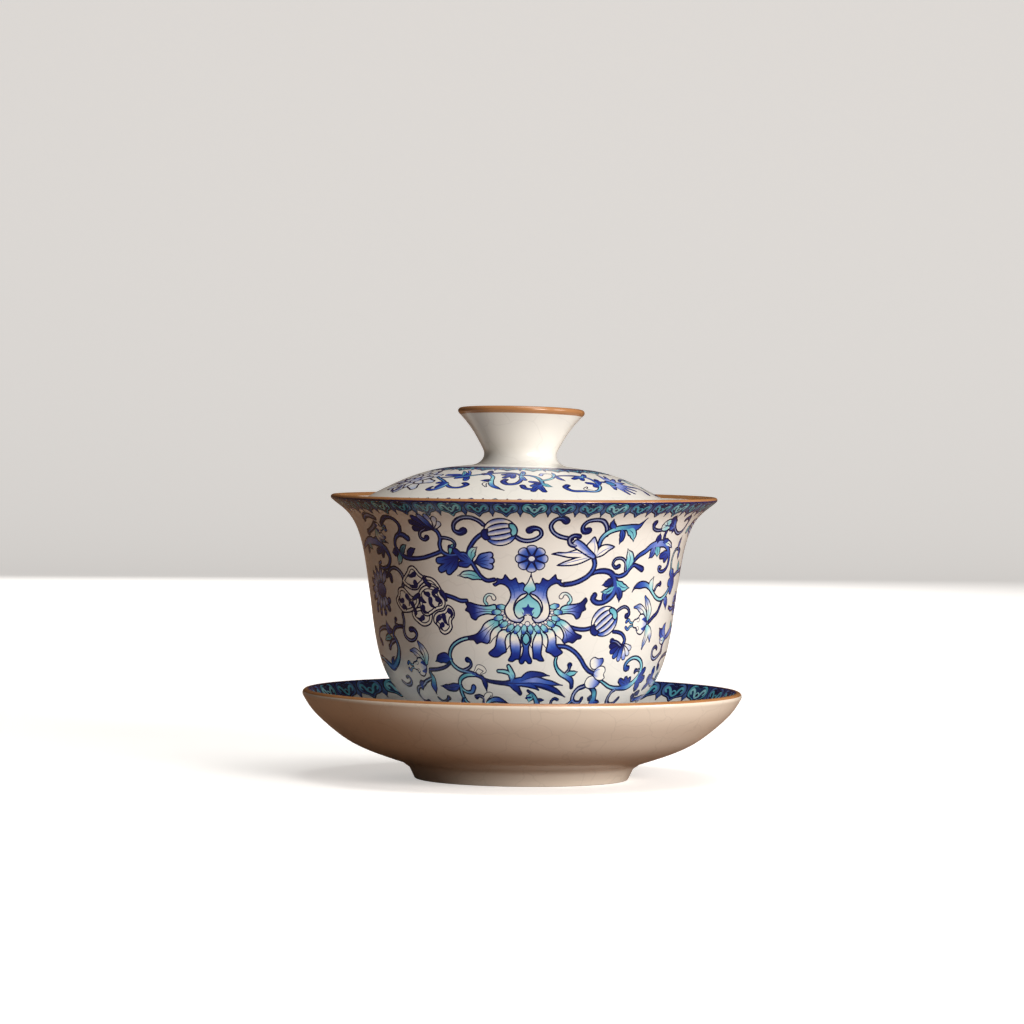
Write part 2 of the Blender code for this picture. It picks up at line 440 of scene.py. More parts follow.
def fillet(before, corner, after, radius, steps=5):
    """The arc of this radius that rounds the corner between two straight runs."""
    corner = np.asarray(corner, float)
    back = unit(np.asarray(before, float) - corner)
    on = unit(np.asarray(after, float) - corner)
    half = math.acos(float(np.clip(back @ on, -1.0, 1.0))) / 2
    centre = corner + unit(back + on) * radius / math.sin(half)
    first = corner + back * radius / math.tan(half) - centre
    last = corner + on * radius / math.tan(half) - centre
    start = math.atan2(first[1], first[0])
    sweep = (math.atan2(last[1], last[0]) - start + math.pi) % (2 * math.pi) - math.pi
    turns = start + sweep * np.linspace(0.0, 1.0, steps + 1)
    return centre + radius * np.stack([np.cos(turns), np.sin(turns)], axis=1)


def foot_ring(top, radius, land, base, underside):
    """A foot ring: its outer side down to the land, the bare land, and its inner side to the axis."""
    outer_corner = (radius, base)
    inner_corner = (radius - land, base)
    inner_top = (radius - land - 0.8, underside)
    outer = fillet(top, outer_corner, inner_corner, 0.4)
    inner = fillet(outer_corner, inner_corner, inner_top, 0.5)
    throat = fillet(inner_corner, inner_top, (0, underside), 1.2)
    land_line = np.concatenate([outer[2:], inner[:4]])
    below = np.concatenate([inner[3:], throat, [(0, underside)]])
    return outer[:3], land_line, below


def lathe(name, profile, segments=192):
    """A turned skin. The profile runs so that the surface faces its left side."""
    profile = np.array(profile, float)
    turns = 2 * math.pi * np.arange(segments) / segments
    x = np.outer(np.sin(turns), profile[:, 0])
    y = -np.outer(np.cos(turns), profile[:, 0])
    z = np.tile(profile[:, 1], (segments, 1))
    verts = (np.stack([x, y, z], axis=-1) * MM).reshape(-1, 3)
    n = len(profile)
    faces = []
    for i in range(segments):
        j = (i + 1) % segments
        for k in range(n - 1):
            quad = [i * n + k, i * n + k + 1, j * n + k + 1, j * n + k]
            if profile[k, 0] < ON_AXIS:
                quad.pop(0)
            elif profile[k + 1, 0] < ON_AXIS:
                quad.pop(1)
            faces.append(quad)
    mesh = bpy.data.meshes.new(name)
    mesh.from_pydata(verts.tolist(), [], faces)
    merge = bpy.data.objects.new(name, mesh)
    bpy.context.scene.collection.objects.link(merge)
    mesh.validate()
    for polygon in mesh.polygons:
        polygon.use_smooth = True
    return merge


def painted(name, sheet, cut, at, sectors, count, first=0.0):
    """A sheet, one of `sectors` round a turned shape, wrapped round it `count` times from the angle `first`.

    cut is what sheet.triangles() gave. at(y) gives radius, height and the normal where the drawing is at y.
    """
    verts, faces, colours = cut
    radius, height, normal_r, normal_z = at(verts[:, 1])
    angle = verts[:, 0] / sheet.width * (2 * math.pi / sectors)
    all_verts, all_normals, all_faces, all_colours = [], [], [], []
    for number in range(count):
        turn = angle + first + number * 2 * math.pi / sectors
        s, c = np.sin(turn), -np.cos(turn)
        all_faces.append(faces + number * len(verts))
        all_verts.append(np.stack([radius * s, radius * c, height], axis=1) * MM)
        all_normals.append(np.stack([normal_r * s, normal_r * c, normal_z], axis=1))
        all_colours.append(colours)
    mesh = bpy.data.meshes.new(name)
    faces = np.concatenate(all_faces)
    rgb = np.concatenate(all_colours)
    if normal_z.mean() > 0.5:
        # Drawn outwards from the axis, the sheet lands face down, so its triangles are turned over.
        faces, rgb = faces[:, ::-1], rgb[:, ::-1]
    mesh.from_pydata(np.concatenate(all_verts).tolist(), [], faces.tolist())
    for polygon in mesh.polygons:
        polygon.use_smooth = True
    mesh.normals_split_custom_set_from_vertices(np.concatenate(all_normals).tolist())
    rgb = rgb.reshape(-1, 3)
    layer = mesh.color_attributes.new(name="paint", type="FLOAT_COLOR", domain="CORNER")
    layer.data.foreach_set("color", np.concatenate([rgb, np.ones((len(rgb), 1))], axis=1).ravel())
    piece = bpy.data.objects.new(name, mesh)
    bpy.context.scene.collection.objects.link(piece)
    return piece


def reader(profile, key):
    """Reads a profile by its radius (key 0) or height (key 1): radius, height and the normal there."""
    profile = profile[np.argsort(profile[:, key])]
    side = normals(profile)
    if side[:, 0 if key else 1].mean() < 0:
        side = -side

    def at(value):
        columns = (profile[:, 0], profile[:, 1], side[:, 0], side[:, 1])
        return [np.interp(value, profile[:, key], column) for column in columns]

    return at


# ---------------------------------------------------------------- the cup's painting

WALL_SCALE = 0.7  # millimetres of drawing for one degree round the cup
WALL_HALF = 180 * WALL_SCALE
WALL_LOW = 14.8
WALL_HIGH = 73.0
HEAD_PITCH = 6.0
HEAD_START = 5.1
HEAD_TOP = 72.75


def ruyi_head(s, x, top, green=False, flip=1):
    """A cloud-collar head: a trefoil inside a trefoil, and two pale horns round an eye."""
    heart = np.array([0, -1.75])
    half = [(0, -0.45), (0.55, -0.15), (1.5, 0.05), (2.45, -0.4), (2.85, -1.35), (2.5, -2.35),
            (1.7, -2.75), (0.9, -3.05)]
    outline = np.array(half + [(0, -3.95)] + [(-px, py) for px, py in reversed(half[1:])])

    def shrunk(share):
        points = (outline - heart) * [share, share * 0.96] + heart
        return points * [1, flip] + [x, top]

    rim, core = (TURQUOISE, TEAL) if green else (SLATE, INK)
    s.blob(shrunk(1.0), rim, line=0.3)
    s.blob(shrunk(0.72), (core, NAVY), ink=None, top=True)
    pale = AQUA if green else TURQUOISE
    for side in (-1, 1):
        horn = np.array([(0, -2.4), (0.6, -2.0), (0.95, -1.35), (1.5, -0.95), (2.0, -1.3), (1.65, -1.75)])
        s.stroke(horn * [side, flip] + [x, top], [0.45, 0.42, 0.4, 0.36, 0.36, 0.26], pale, ink=None,
                 level=1)
    s.dot((x, top - 1.95 * flip), 0.6, pale, level=1, top=False)
    s.dot((x, top - 1.9 * flip), 0.34, INK, level=1)


def rim_border(s):
    """The band under the lip: one turquoise head to every two blue ones, with dark leaf tips between."""
    count = int(round(s.width / HEAD_PITCH))
    places = [-s.width / 2 + HEAD_START + number * HEAD_PITCH for number in range(count)]
    for x in places:
        gap = x + HEAD_PITCH / 2
        s.stroke([(gap, 72.6), (gap, 71.0), (gap, 69.2)], [1.7, 1.7, 0.3], (NAVY, SLATE, NAVY), line=0.26)
    s.band(72.4, 74.0, NAVY)
    s.next()
    for number, x in enumerate(places):
        ruyi_head(s, x, HEAD_TOP, number % 3 == 1)
    s.next()


def lotus(s):
    """The flower in the middle of the wall: heart, acanthus arms, a ring of petals and skirts of
    lappets.
    """
    skirt = (AQUA, WHITE, WHITE, LILAC, BLUE, COBALT, COBALT)
    side_petal = (AQUA, AQUA, LILAC, COBALT, NAVY)
    low_petal = (TURQUOISE, AQUA, WHITE, LILAC, COBALT, NAVY)
    arm = (COBALT, COBALT, BLUE, LILAC, WHITE, WHITE, WHITE, LILAC)
    # White sheaths behind the lappets, then the long lappets, outermost first.
    for points in ([(-6.0, 42.0), (-7.9, 39.8), (-8.9, 37.4)], [(8.2, 42.0), (9.9, 39.9), (10.9, 37.8)],
                   [(-3.2, 40.4), (-4.3, 37.6), (-4.9, 35.0)], [(5.4, 40.4), (6.4, 37.6), (7.0, 35.2)],
                   [(-0.8, 40.4), (-1.3, 37.0), (-1.7, 34.4)], [(2.6, 40.4), (3.1, 37.0), (3.5, 34.6)]):
        s.stroke(points, [2.4, 2.7, 1.0], (AQUA, WHITE, WHITE), line=0.26)
        s.next()
    s.blob([(-5.0, 40.7), (-6.5, 39.9), (-7.2, 38), (-7.6, 36.2), (-9.4, 34.4), (-8.5, 33.5),
            (-6.8, 33.3), (-5.3, 34.2), (-4.3, 34.8), (-4.5, 37.6), (-4.0, 39), (-3.0, 39.8)], skirt,
           axis=((-4, 40.5), (-7, 34)))
    s.blob([(6.8, 41), (8.2, 40.3), (8.9, 38.5), (9.1, 36.8), (10.9, 34.8), (9.9, 33.9), (8.6, 33.5),
            (7.4, 34.3), (6.0, 35.0), (6.3, 36.5), (6.4, 38), (6.0, 39.2), (5.0, 40)], skirt,
           axis=((6, 40.5), (8.5, 34)))
    s.next()
    s.blob([(-2.2, 40.4), (-3.4, 39.4), (-3.6, 38), (-3.5, 36), (-3.3, 34.3), (-4.1, 32.6), (-2.8, 32.2),
            (-1.8, 32.8), (-0.9, 32.9), (-0.5, 34.5), (-0.6, 37.5)], skirt, axis=((-2, 40), (-2.8, 33)))
    s.blob([(4.0, 40.4), (5.0, 39.4), (5.3, 38), (5.2, 36), (5.1, 34.3), (5.9, 32.6), (4.6, 32.4),
            (3.6, 32.9), (2.7, 33.1), (2.5, 34.5), (2.4, 37.5)], skirt, axis=((4, 40), (4.4, 33)))
    s.next()
    s.blob([(0.8, 40.4), (-0.5, 39.4), (-0.7, 37.6), (-0.1, 36.1), (-0.4, 34.2), (-1.2, 32.6),
            (-0.7, 31.7), (0.2, 31.8), (0.7, 32.5), (1.4, 31.8), (2.4, 31.9), (2.6, 32.8), (1.9, 34.2),
            (1.7, 36.1), (2.3, 37.6), (2.1, 39.4)], (AQUA, TURQUOISE, BLUE, COBALT, COBALT),
           axis=((0.8, 40), (0.8, 32)))
    s.blob([(0.8, 39.9), (-0.2, 38.9), (-0.3, 37.6), (0.8, 36.5), (1.9, 37.6), (1.8, 38.9)],
           (AQUA, TURQUOISE), level=1)
    s.next()

    # Side and diagonal petals.
    s.blob([(-7.0, 46.9), (-9.5, 46.6), (-12, 46.9), (-14.2, 47.4), (-15.2, 46.9), (-14.8, 46.1),
            (-15.4, 45.2), (-14.3, 44.5), (-13.7, 43.2), (-12.4, 42.6), (-11.5, 43.5), (-9.5, 44.2),
            (-7.0, 44.2)], side_petal, axis=((-7.5, 45.4), (-14.5, 44.9)))
    s.blob([(9.6, 46.3), (11, 47.0), (13, 47.2), (14.8, 47.6), (16.2, 48.8), (16.9, 47.9), (16.3, 46.8),
            (16.6, 45.6), (15.6, 45.0), (14.9, 43.5), (13.9, 43.1), (13, 44.2), (11.5, 44.5),
            (9.4, 44.4)], side_petal, axis=((9.4, 45.4), (15.8, 46)))
    s.blob([(-6.3, 43.2), (-8.5, 43.1), (-10.3, 42.0), (-11.3, 40.5), (-12.5, 39.4), (-14.9, 38.5),
            (-14.6, 37.6), (-13.3, 37.5), (-12.5, 36.6), (-11.2, 37.0), (-9.4, 36.7), (-8.6, 37.6),
            (-8.4, 39.2), (-7.5, 40.6), (-6.2, 41.4)], low_petal, axis=((-6.5, 42.6), (-12.8, 37.8)))
    s.blob([(9.0, 43.3), (10.5, 43.2), (12, 42.3), (13.2, 41.0), (14.1, 39.9), (15.9, 39.0), (15.7, 38.2),
            (14.6, 37.9), (13.4, 37.0), (12.2, 37.3), (11.1, 36.9), (10.3, 37.8), (10.6, 38.9),
            (10.2, 40.2), (9.4, 41.2), (8.2, 41.7)], low_petal, axis=((9, 42.6), (13.6, 37.9)))
    for points in ([(-7.6, 45.6), (-10.5, 45.6), (-13.6, 46.2)], [(-7.6, 45.0), (-10.5, 45.0),
                                                                  (-13.8, 44.2)], [(10, 45.6),
                                                                                   (12.5, 45.9),
                                                                                   (15.3, 47.2)],
                   [(10, 45.1), (12.5, 45.2), (15.2, 44.8)], [(-7.4, 42.2), (-9.4, 40.8), (-12.9, 38.5)],
                   [(-7.6, 41.6), (-9.2, 39.8), (-10.6, 37.8)], [(9.6, 42.2), (11.4, 40.6), (14.2, 38.8)],
                   [(9.9, 41.8), (11.2, 40.0), (11.9, 38.0)]):
        s.vein(points)
    for points in ([(-9.4, 46.9), (-9.9, 47.6), (-9.7, 48.6), (-8.9, 49.3), (-7.9, 49.1), (-7.5, 48.4)],
                   [(11.6, 47.2), (12.2, 47.9), (12, 48.8), (11.0, 49.7), (10.1, 49.6), (9.6, 48.9)]):
        s.stroke(points, [0.9, 0.9, 0.8, 1.2], (AQUA, WHITE), line=0.26)
    s.next()

    # Ring of turquoise petals under the heart, then its beads.
    for x, y in ((-5.6, 46.2), (-6.9, 44.9), (-6.4, 43.4), (-5.0, 41.8), (-3.4, 40.9), (-1.6, 40.6),
                 (0.2, 40.6), (1.9, 40.6), (3.7, 40.7), (5.5, 40.9), (7.1, 42.0), (8.4, 43.4),
                 (8.9, 45.0), (8.0, 46.5)):
        away = unit((x - 1.1, y - 45.2))
        base = np.array((x, y)) - away * 0.7
        s.stroke([base, base + away * 0.8, base + away * 1.5], [1.3, 1.6, 1.1], (AQUA, AQUA, BLUE),
                 line=0.25)
        s.next()
    # Acanthus arms.
    s.blob([(-7.9, 52.1), (-7.2, 51.3), (-5.8, 51.9), (-4.2, 51.2), (-3.4, 49.5), (-3.8, 47.9),
            (-4.9, 46), (-4.8, 44.5), (-3.9, 43.1), (-2.4, 42.3), (-0.5, 42.3), (0.4, 43.6), (-0.8, 44.2),
            (-2.2, 45.4), (-1.9, 47.4), (-0.4, 49.2), (0.9, 49.7), (0.8, 51.4), (-0.2, 52.6),
            (-1.2, 52.4), (-1.9, 53.8), (-3.2, 53.2), (-4.6, 54.6), (-5.4, 53.4), (-6.8, 53.6),
            (-6.9, 52.6)], arm, axis=((-4, 54), (-1.5, 42)))
    s.blob([(10.5, 52.2), (9.6, 51.4), (8.4, 52.1), (7.0, 51.6), (6.2, 50.6), (6.1, 49.2), (6.5, 47.8),
            (6.9, 46.2), (6.9, 44.5), (6.2, 43.1), (4.8, 42.3), (3.1, 42.2), (2.1, 43.6), (3.4, 44.2),
            (4.6, 45.4), (4.4, 47.4), (3.0, 49.0), (1.7, 49.6), (2.2, 51.4), (3.1, 52.5), (4.0, 52.4),
            (4.7, 53.8), (6.1, 53.2), (8.0, 54.7), (8.5, 53.5), (9.6, 53.3), (9.5, 52.7)], arm,
           axis=((6.5, 54), (4.0, 42)))
    for points in ([(-6.8, 52.7), (-4.6, 52.6), (-2.6, 50.8), (-2.2, 48.6)], [(-4.7, 53.9), (-3.4, 52.6),
                                                                              (-1.9, 50.9)],
                   [(-2.0, 53.2), (-1.2, 51.6), (-0.9, 50.2)], [(9.4, 52.4), (7.4, 52.6), (5.4, 50.8),
                                                                (4.9, 48.6)], [(7.8, 54.1), (6.4, 52.8),
                                                                               (4.8, 50.9)], [(4.8, 53.2),
                                                                                              (4.0, 51.6),
                                                                                              (3.7, 50.2)]):
        s.vein(points, 0.24, DAYBREAK)
    for x, y, size in ((-5.3, 44.6, 0.55), (-4.8, 43.3, 0.55), (-3.6, 42.4, 0.55), (-2.1, 41.8, 0.55),
                       (-0.6, 41.7, 0.6), (1.1, 42.0, 0.75), (2.8, 41.8, 0.6), (4.4, 41.8, 0.55),
                       (5.8, 42.4, 0.55), (6.9, 43.5, 0.55), (7.4, 44.9, 0.55)):
        s.dot((x, y), size, MIST, ink=NAVY, line=0.2, top=False)
    s.next()

    # Heart with its neck.
    s.blob([(1.9, 55.2), (1.5, 54.0), (0.9, 52.6), (0.0, 51.3), (-0.1, 50.4), (0.8, 49.9), (1.3, 49.1),
            (1.9, 49.9), (3.0, 50.4), (3.2, 51.3), (2.6, 52.7), (2.1, 54.0)],
           (WHITE, WHITE, AQUA, TURQUOISE), line=0.3)
    s.blob([(1.3, 49.9), (0.2, 48.9), (-1.6, 47.7), (-2.5, 46), (-2.3, 44.3), (-1.2, 43.2), (0.2, 43.7),
            (1.15, 44.9), (2.1, 43.8), (3.4, 43.3), (4.5, 44.4), (4.7, 46), (3.9, 47.7), (2.3, 48.9)],
           (TURQUOISE, AQUA, AQUA, WHITE))
    s.vein([(1.1, 44.9), (0.9, 44.2), (0.1, 44.3), (-0.3, 45.0)], 0.24)
    s.vein([(1.2, 44.9), (1.5, 44.2), (2.3, 44.3), (2.7, 45.0)], 0.24)
    s.blob([(1.2, 47.2), (0.75, 46.3), (-0.4, 46.1), (0.2, 45.2), (-0.1, 44.2), (1.2, 44.6), (2.5, 44.2),
            (2.2, 45.2), (2.9, 46.1), (1.7, 46.3)], (COBALT, COBALT, LILAC), ink=None, level=1)
    s.next()


def rosette(s, x, y, radius=4.05, tall=0.86, petals=8, turn=0.0):
    """A round flower of broad petals, deep blue at its eye and pale at the tips."""
    s.dot((x, y), 0.5 * radius, (COBALT, COBALT), tall=tall, top=False)
    s.next()
    for number in range(petals):
        angle = turn + 2 * math.pi * number / petals
        out = np.array([math.cos(angle), math.sin(angle)])
        side = np.array([-out[1], out[0]])
        outline = [0.18 * out, 0.55 * out + 0.24 * side, 0.84 * out + 0.33 * side, 1.0 * out + 0.14 * side,
                   1.0 * out - 0.14 * side, 0.84 * out - 0.33 * side, 0.55 * out - 0.24 * side]
        outline = np.array(outline) * radius * [1, tall] + [x, y]
        axis = (np.array([x, y]), out * radius * [1, tall] + [x, y])
        s.blob(outline, (COBALT, COBALT, BLUE, BLUE, LILAC, WHITE), axis=axis, line=0.30)
    s.dot((x, y), 0.22 * radius, (WHITE, PALE), ink=NAVY, line=0.16, tall=tall, level=1, top=False)
    s.next()


def bud(s, x, y, long, wide, angle):
    """A ribbed seed pod that points along `angle`, with a cap at its tip and a dark cup at its base."""

    def at(points):
        return turned_about(np.array(points, float), angle) + [x, y]

    def arc(height):
        turns = np.linspace(0.04, 0.96, 7) * math.pi
        return [(-long * math.cos(turn), wide * height * math.sin(turn)) for turn in turns]

    s.blob(at([(-long, 0)] + arc(1.0) + [(long, 0)] + arc(-1.0)[::-1]), (INK, INK), ink=None)
    ribs = (-0.96, -0.58, -0.2, 0.2, 0.58, 0.96)
    for below, above in zip(ribs[:-1], ribs[1:]):
        low = np.array(arc(below + 0.06)) * [0.92, 1]
        high = np.array(arc(above - 0.06)) * [0.92, 1]
        side = at([(0, wide * below), (0, wide * above)])
        s.blob(at(np.concatenate([low, high[::-1]])), (WHITE, WHITE, LILAC, BLUE), axis=side, ink=None,
               level=1)
    s.blob(at([(long * 1.04, 0), (long * 0.9, wide * 0.42), (long * 0.62, wide * 0.5),
               (long * 0.52, 0.2 * wide), (long * 0.6, 0), (long * 0.52, -0.2 * wide),
               (long * 0.62, -wide * 0.5), (long * 0.9, -wide * 0.42)]), SEA, level=2)
    s.blob(at([(-long * 1.18, 0), (-long * 0.98, wide * 0.4), (-long * 0.62, wide * 0.34),
               (-long * 0.72, 0), (-long * 0.62, -wide * 0.34), (-long * 0.98, -wide * 0.4)]), DEEP,
           level=2)
    s.next()




def leaf(s, base, tip, wide=1.9, bow=0.15, colours=DEEP, tipped=0.25, vein=True):
    """A pointed leaf from base to tip, bowed to the left of its run."""
    base, tip = np.array(base, float), np.array(tip, float)
    run = tip - base
    side = np.array([-run[1], run[0]])
    middle = (base + tip) / 2 + side * bow
    s.stroke([base, middle, tip], [0.9, wide * 1.22, wide, tipped], colours)
    if vein:
        s.vein([base + run * 0.15 + side * bow * 0.5, middle, base + run * 0.86 + side * bow * 0.35], 0.2)


def fan(s, base, tips, wide=2.0, colours=DUSK, bow=0.06):
    """A lobed leaf: round-tipped lobes that share one base, their fills run together."""
    base = np.array(base, float)
    for tip in tips:
        tip = np.array(tip, float)
        run = tip - base
        side = np.array([-run[1], run[0]])
        s.stroke([base, base + run * 0.55 + side * bow, tip], [1.0, wide * 1.18, wide * 0.95], colours)
        s.vein([base + run * 0.25 + side * bow * 0.6, base + run * 0.85 + side * bow * 0.5], 0.2)


def stem(s, points, colours=ROYAL, widths=(1.15, 1.15)):
    s.stroke(points, widths, mixed(colours, NAVY, 0.5), core=mixed(colours, PALE, 0.1), fade=(0.62, 0.3))


def hook(s, points, colours=ROYAL, thick=1.15, bulb=1.75):
    """A curl that ends in a round, dark bulb."""
    dark = mixed(colours, NAVY, 0.5) + (NAVY, NAVY)
    pale = mixed(colours, WHITE, 0.55) + (BLUE,)
    s.stroke(points, [thick, thick, thick * 0.95, thick * 0.9, bulb], dark, core=pale, fade=(0.5, 0.0))


def ribbed(s, base, ribs):
    """A fan leaf of separate ribs, each given by its tip and its colours, the later ones on top."""
    base = np.array(base)
    for tip, shades in ribs:
        s.stroke([base, base + 0.6 * (np.array(tip) - base), tip], [0.9, 1.6, 1.5], shades, line=0.28)
        s.next()


def upper_scrolls(s):
    # Round the pod at the upper left of the lotus.
    stem(s, [(-9.2, 65.1), (-11.4, 63.5), (-13.2, 61.2), (-13.9, 59.4)], NIGHTFALL)
    hook(s, [(-1.9, 64.0), (-0.8, 63.3), (0.8, 63.0), (2.8, 63.5), (4.0, 64.6), (3.6, 65.9), (2.2, 66.2),
             (1.2, 65.7)])
    hook(s, [(-9.4, 67.0), (-10.4, 68.0), (-12.4, 68.8), (-14.8, 68.4), (-16.5, 67.0), (-16.7, 65.4),
             (-15.4, 64.8), (-14.3, 65.4)], NIGHTFALL)
    hook(s, [(11.4, 63.6), (10.0, 63.8), (8.2, 64.3), (6.7, 65.4), (6.1, 66.9), (7.0, 68.4), (8.4, 68.8),
             (9.5, 68.1)])
    hook(s, [(20.2, 64.6), (19.7, 66.6), (18.3, 68.1), (16.4, 68.4), (14.5, 67.9), (13.7, 66.6),
             (14.2, 65.5), (15.2, 65.7)])
    # Stem from the lotus's left arm up to the pod, with its fan leaves.
    stem(s, [(-7.4, 53.1), (-9.2, 52.9), (-10.8, 53.9), (-11.8, 55.4), (-12.9, 57.2), (-14.6, 59.4),
             (-17.0, 59.2), (-19.2, 59.1), (-20.8, 60.0), (-21.2, 61.6), (-20.8, 63.3), (-21.3, 65.0),
             (-22.5, 65.9)], (COBALT, BLUE, BLUE))
    fan(s, (-11.9, 57.4), [(-8.3, 59.3), (-8.0, 57.9), (-8.3, 56.4)], 1.9, DUSK)
    leaf(s, (-13.0, 58.0), (-11.4, 61.3), 1.9, 0.2, WAVE)
    fan(s, (-13.0, 57.4), [(-16.0, 56.9), (-17.2, 60.2)], 1.7, NIGHTFALL)
    leaf(s, (-10.8, 53.3), (-16.9, 53.9), 1.9, -0.12, WAVE)
    fan(s, (-16.6, 58.9), [(-21.9, 57.6), (-21.4, 55.4), (-19.2, 54.9)], 2.0, (NAVY, COBALT, BLUE))
    leaf(s, (-18.6, 59.4), (-17.4, 62.0), 1.2, 0.1, SEA, vein=False)
    hook(s, [(-20.9, 63.4), (-19.3, 63.4), (-17.7, 62.9), (-17.0, 61.9), (-17.6, 61.0), (-18.4, 61.1)],
         (BLUE, BLUE), 0.95, 1.3)
    # Stem on to the left.
    stem(s, [(-20.8, 60.0), (-23, 59.2), (-26, 58.3), (-29, 57.9), (-32, 58.0), (-34.5, 59.2),
             (-35.7, 61), (-35.2, 62.7), (-33.5, 63.9), (-32, 63.8), (-30.6, 63.0)], (BLUE, COBALT, BLUE),
         (1.1, 1.15, 1.3, 1.1, 1.6))
    leaf(s, (-34.6, 59.0), (-35.4, 56.1), 1.7, 0.1, WAVE)
    leaf(s, (-35.0, 59.6), (-37.4, 59.2), 1.9, 0.05, DEEP)
    leaf(s, (-33.8, 58.6), (-31.6, 61.4), 1.6, 0.15, (TEAL, AQUA))
    leaf(s, (-31.6, 58.0), (-28.7, 60.5), 1.7, 0.12, DEEP)
    stem(s, [(-33.6, 63.8), (-32.6, 65.0), (-32.4, 66.6), (-33.6, 68.0), (-35.7, 68.3), (-37.6, 67.5),
             (-39, 66.4)], SHADE)
    hook(s, [(-35.0, 50.4), (-34.2, 52.0), (-34.8, 53.8), (-36.6, 55.1), (-38.6, 55.2), (-40.4, 54.2),
             (-42.2, 53.1)], DEEP, 1.15, 0.5)
    fan(s, (-40.2, 54.0), [(-39.4, 51.9), (-42.6, 53.0)], 1.4, (NAVY, NAVY))
    s.next()
    ribbed(s, (-22.4, 65.8), (((-27.6, 65.6), (NAVY, NAVY)), ((-28.0, 67.2), (NAVY, NAVY)),
                              ((-26.8, 68.4), DEEP), ((-20.4, 67.0), RIB), ((-21.2, 68.2), RIB),
                              ((-23.0, 68.8), (NAVY, WHITE, LILAC)), ((-24.9, 68.8), DUSK)))
    hook(s, [(-24.6, 65.6), (-26.3, 64.6), (-26.4, 63.3), (-25.3, 62.8), (-24.5, 63.4)], SHADE, 1.0, 1.4)
    s.next()


def lily(s):
    """A white lily seen from the side, with blue bracts, on its own bent stem."""
    stem(s, [(17.5, 58.9), (18.0, 57.2), (17.6, 55.6), (16.4, 54.2), (14.4, 53.0), (12.4, 52.3),
             (10.2, 52.0)], NIGHTFALL, (1.3, 1.3))
    s.next()
    clear = (LILAC, WHITE, WHITE, PALE)
    s.blob([(16.4, 60.2), (14.6, 61.4), (12.6, 61.0), (10.4, 60.3), (8.2, 60.3), (6.5, 59.7), (8.6, 59.2),
            (11.0, 58.7), (13.6, 58.6), (16.2, 58.6)], clear, axis=((7, 60), (17.5, 59)))
    s.blob([(16.4, 59.4), (13.6, 59.2), (11.2, 58.4), (9.4, 57.7), (8.0, 56.8), (10.4, 56.6),
            (13.2, 56.9), (15.8, 57.9), (17.2, 58.8)], clear, axis=((8, 57), (17.5, 58.8)))
    s.blob([(15.2, 61.8), (16.0, 63.1), (17.1, 64.3), (18.2, 62.6), (18.8, 60.6), (18.4, 58.8),
            (17.0, 58.6)], clear, axis=((17, 64), (17.8, 58.6)))
    s.blob([(18.0, 58.8), (20.0, 59.2), (21.6, 60.4), (23.2, 61.5), (21.2, 62.3), (19.2, 62.0),
            (18.2, 60.8)], clear, axis=((22.5, 61.6), (18, 58.8)))
    s.next()
    s.blob([(11.6, 62.6), (12.6, 63.6), (14.4, 62.8), (16.4, 61.0), (18.2, 59.2), (17.8, 58.3),
            (16.2, 58.8), (13.8, 60.2), (12.0, 61.4)], (BLUE, BLUE, LILAC, WHITE, WHITE),
           axis=((16.6, 61.8), (14.2, 59.0)))
    hook(s, [(12.6, 61.8), (11.2, 62.3), (10.9, 63.6), (12.0, 64.4), (13.2, 64.2)], SHADE, 1.3, 1.3)
    for points in ([(16.6, 59.6), (12.4, 60.1), (8.4, 59.8)], [(16.4, 58.9), (12.6, 58.0), (9.4, 57.1)],
                   [(17.6, 59.4), (17.6, 61.4), (17.1, 63.2)], [(18.4, 59.4), (20.4, 60.8), (22.0, 61.4)],
                   [(17.2, 59.6), (14.6, 61.4), (12.8, 62.8)]):
        s.vein(points, 0.2, (COBALT, LILAC))
    s.next()


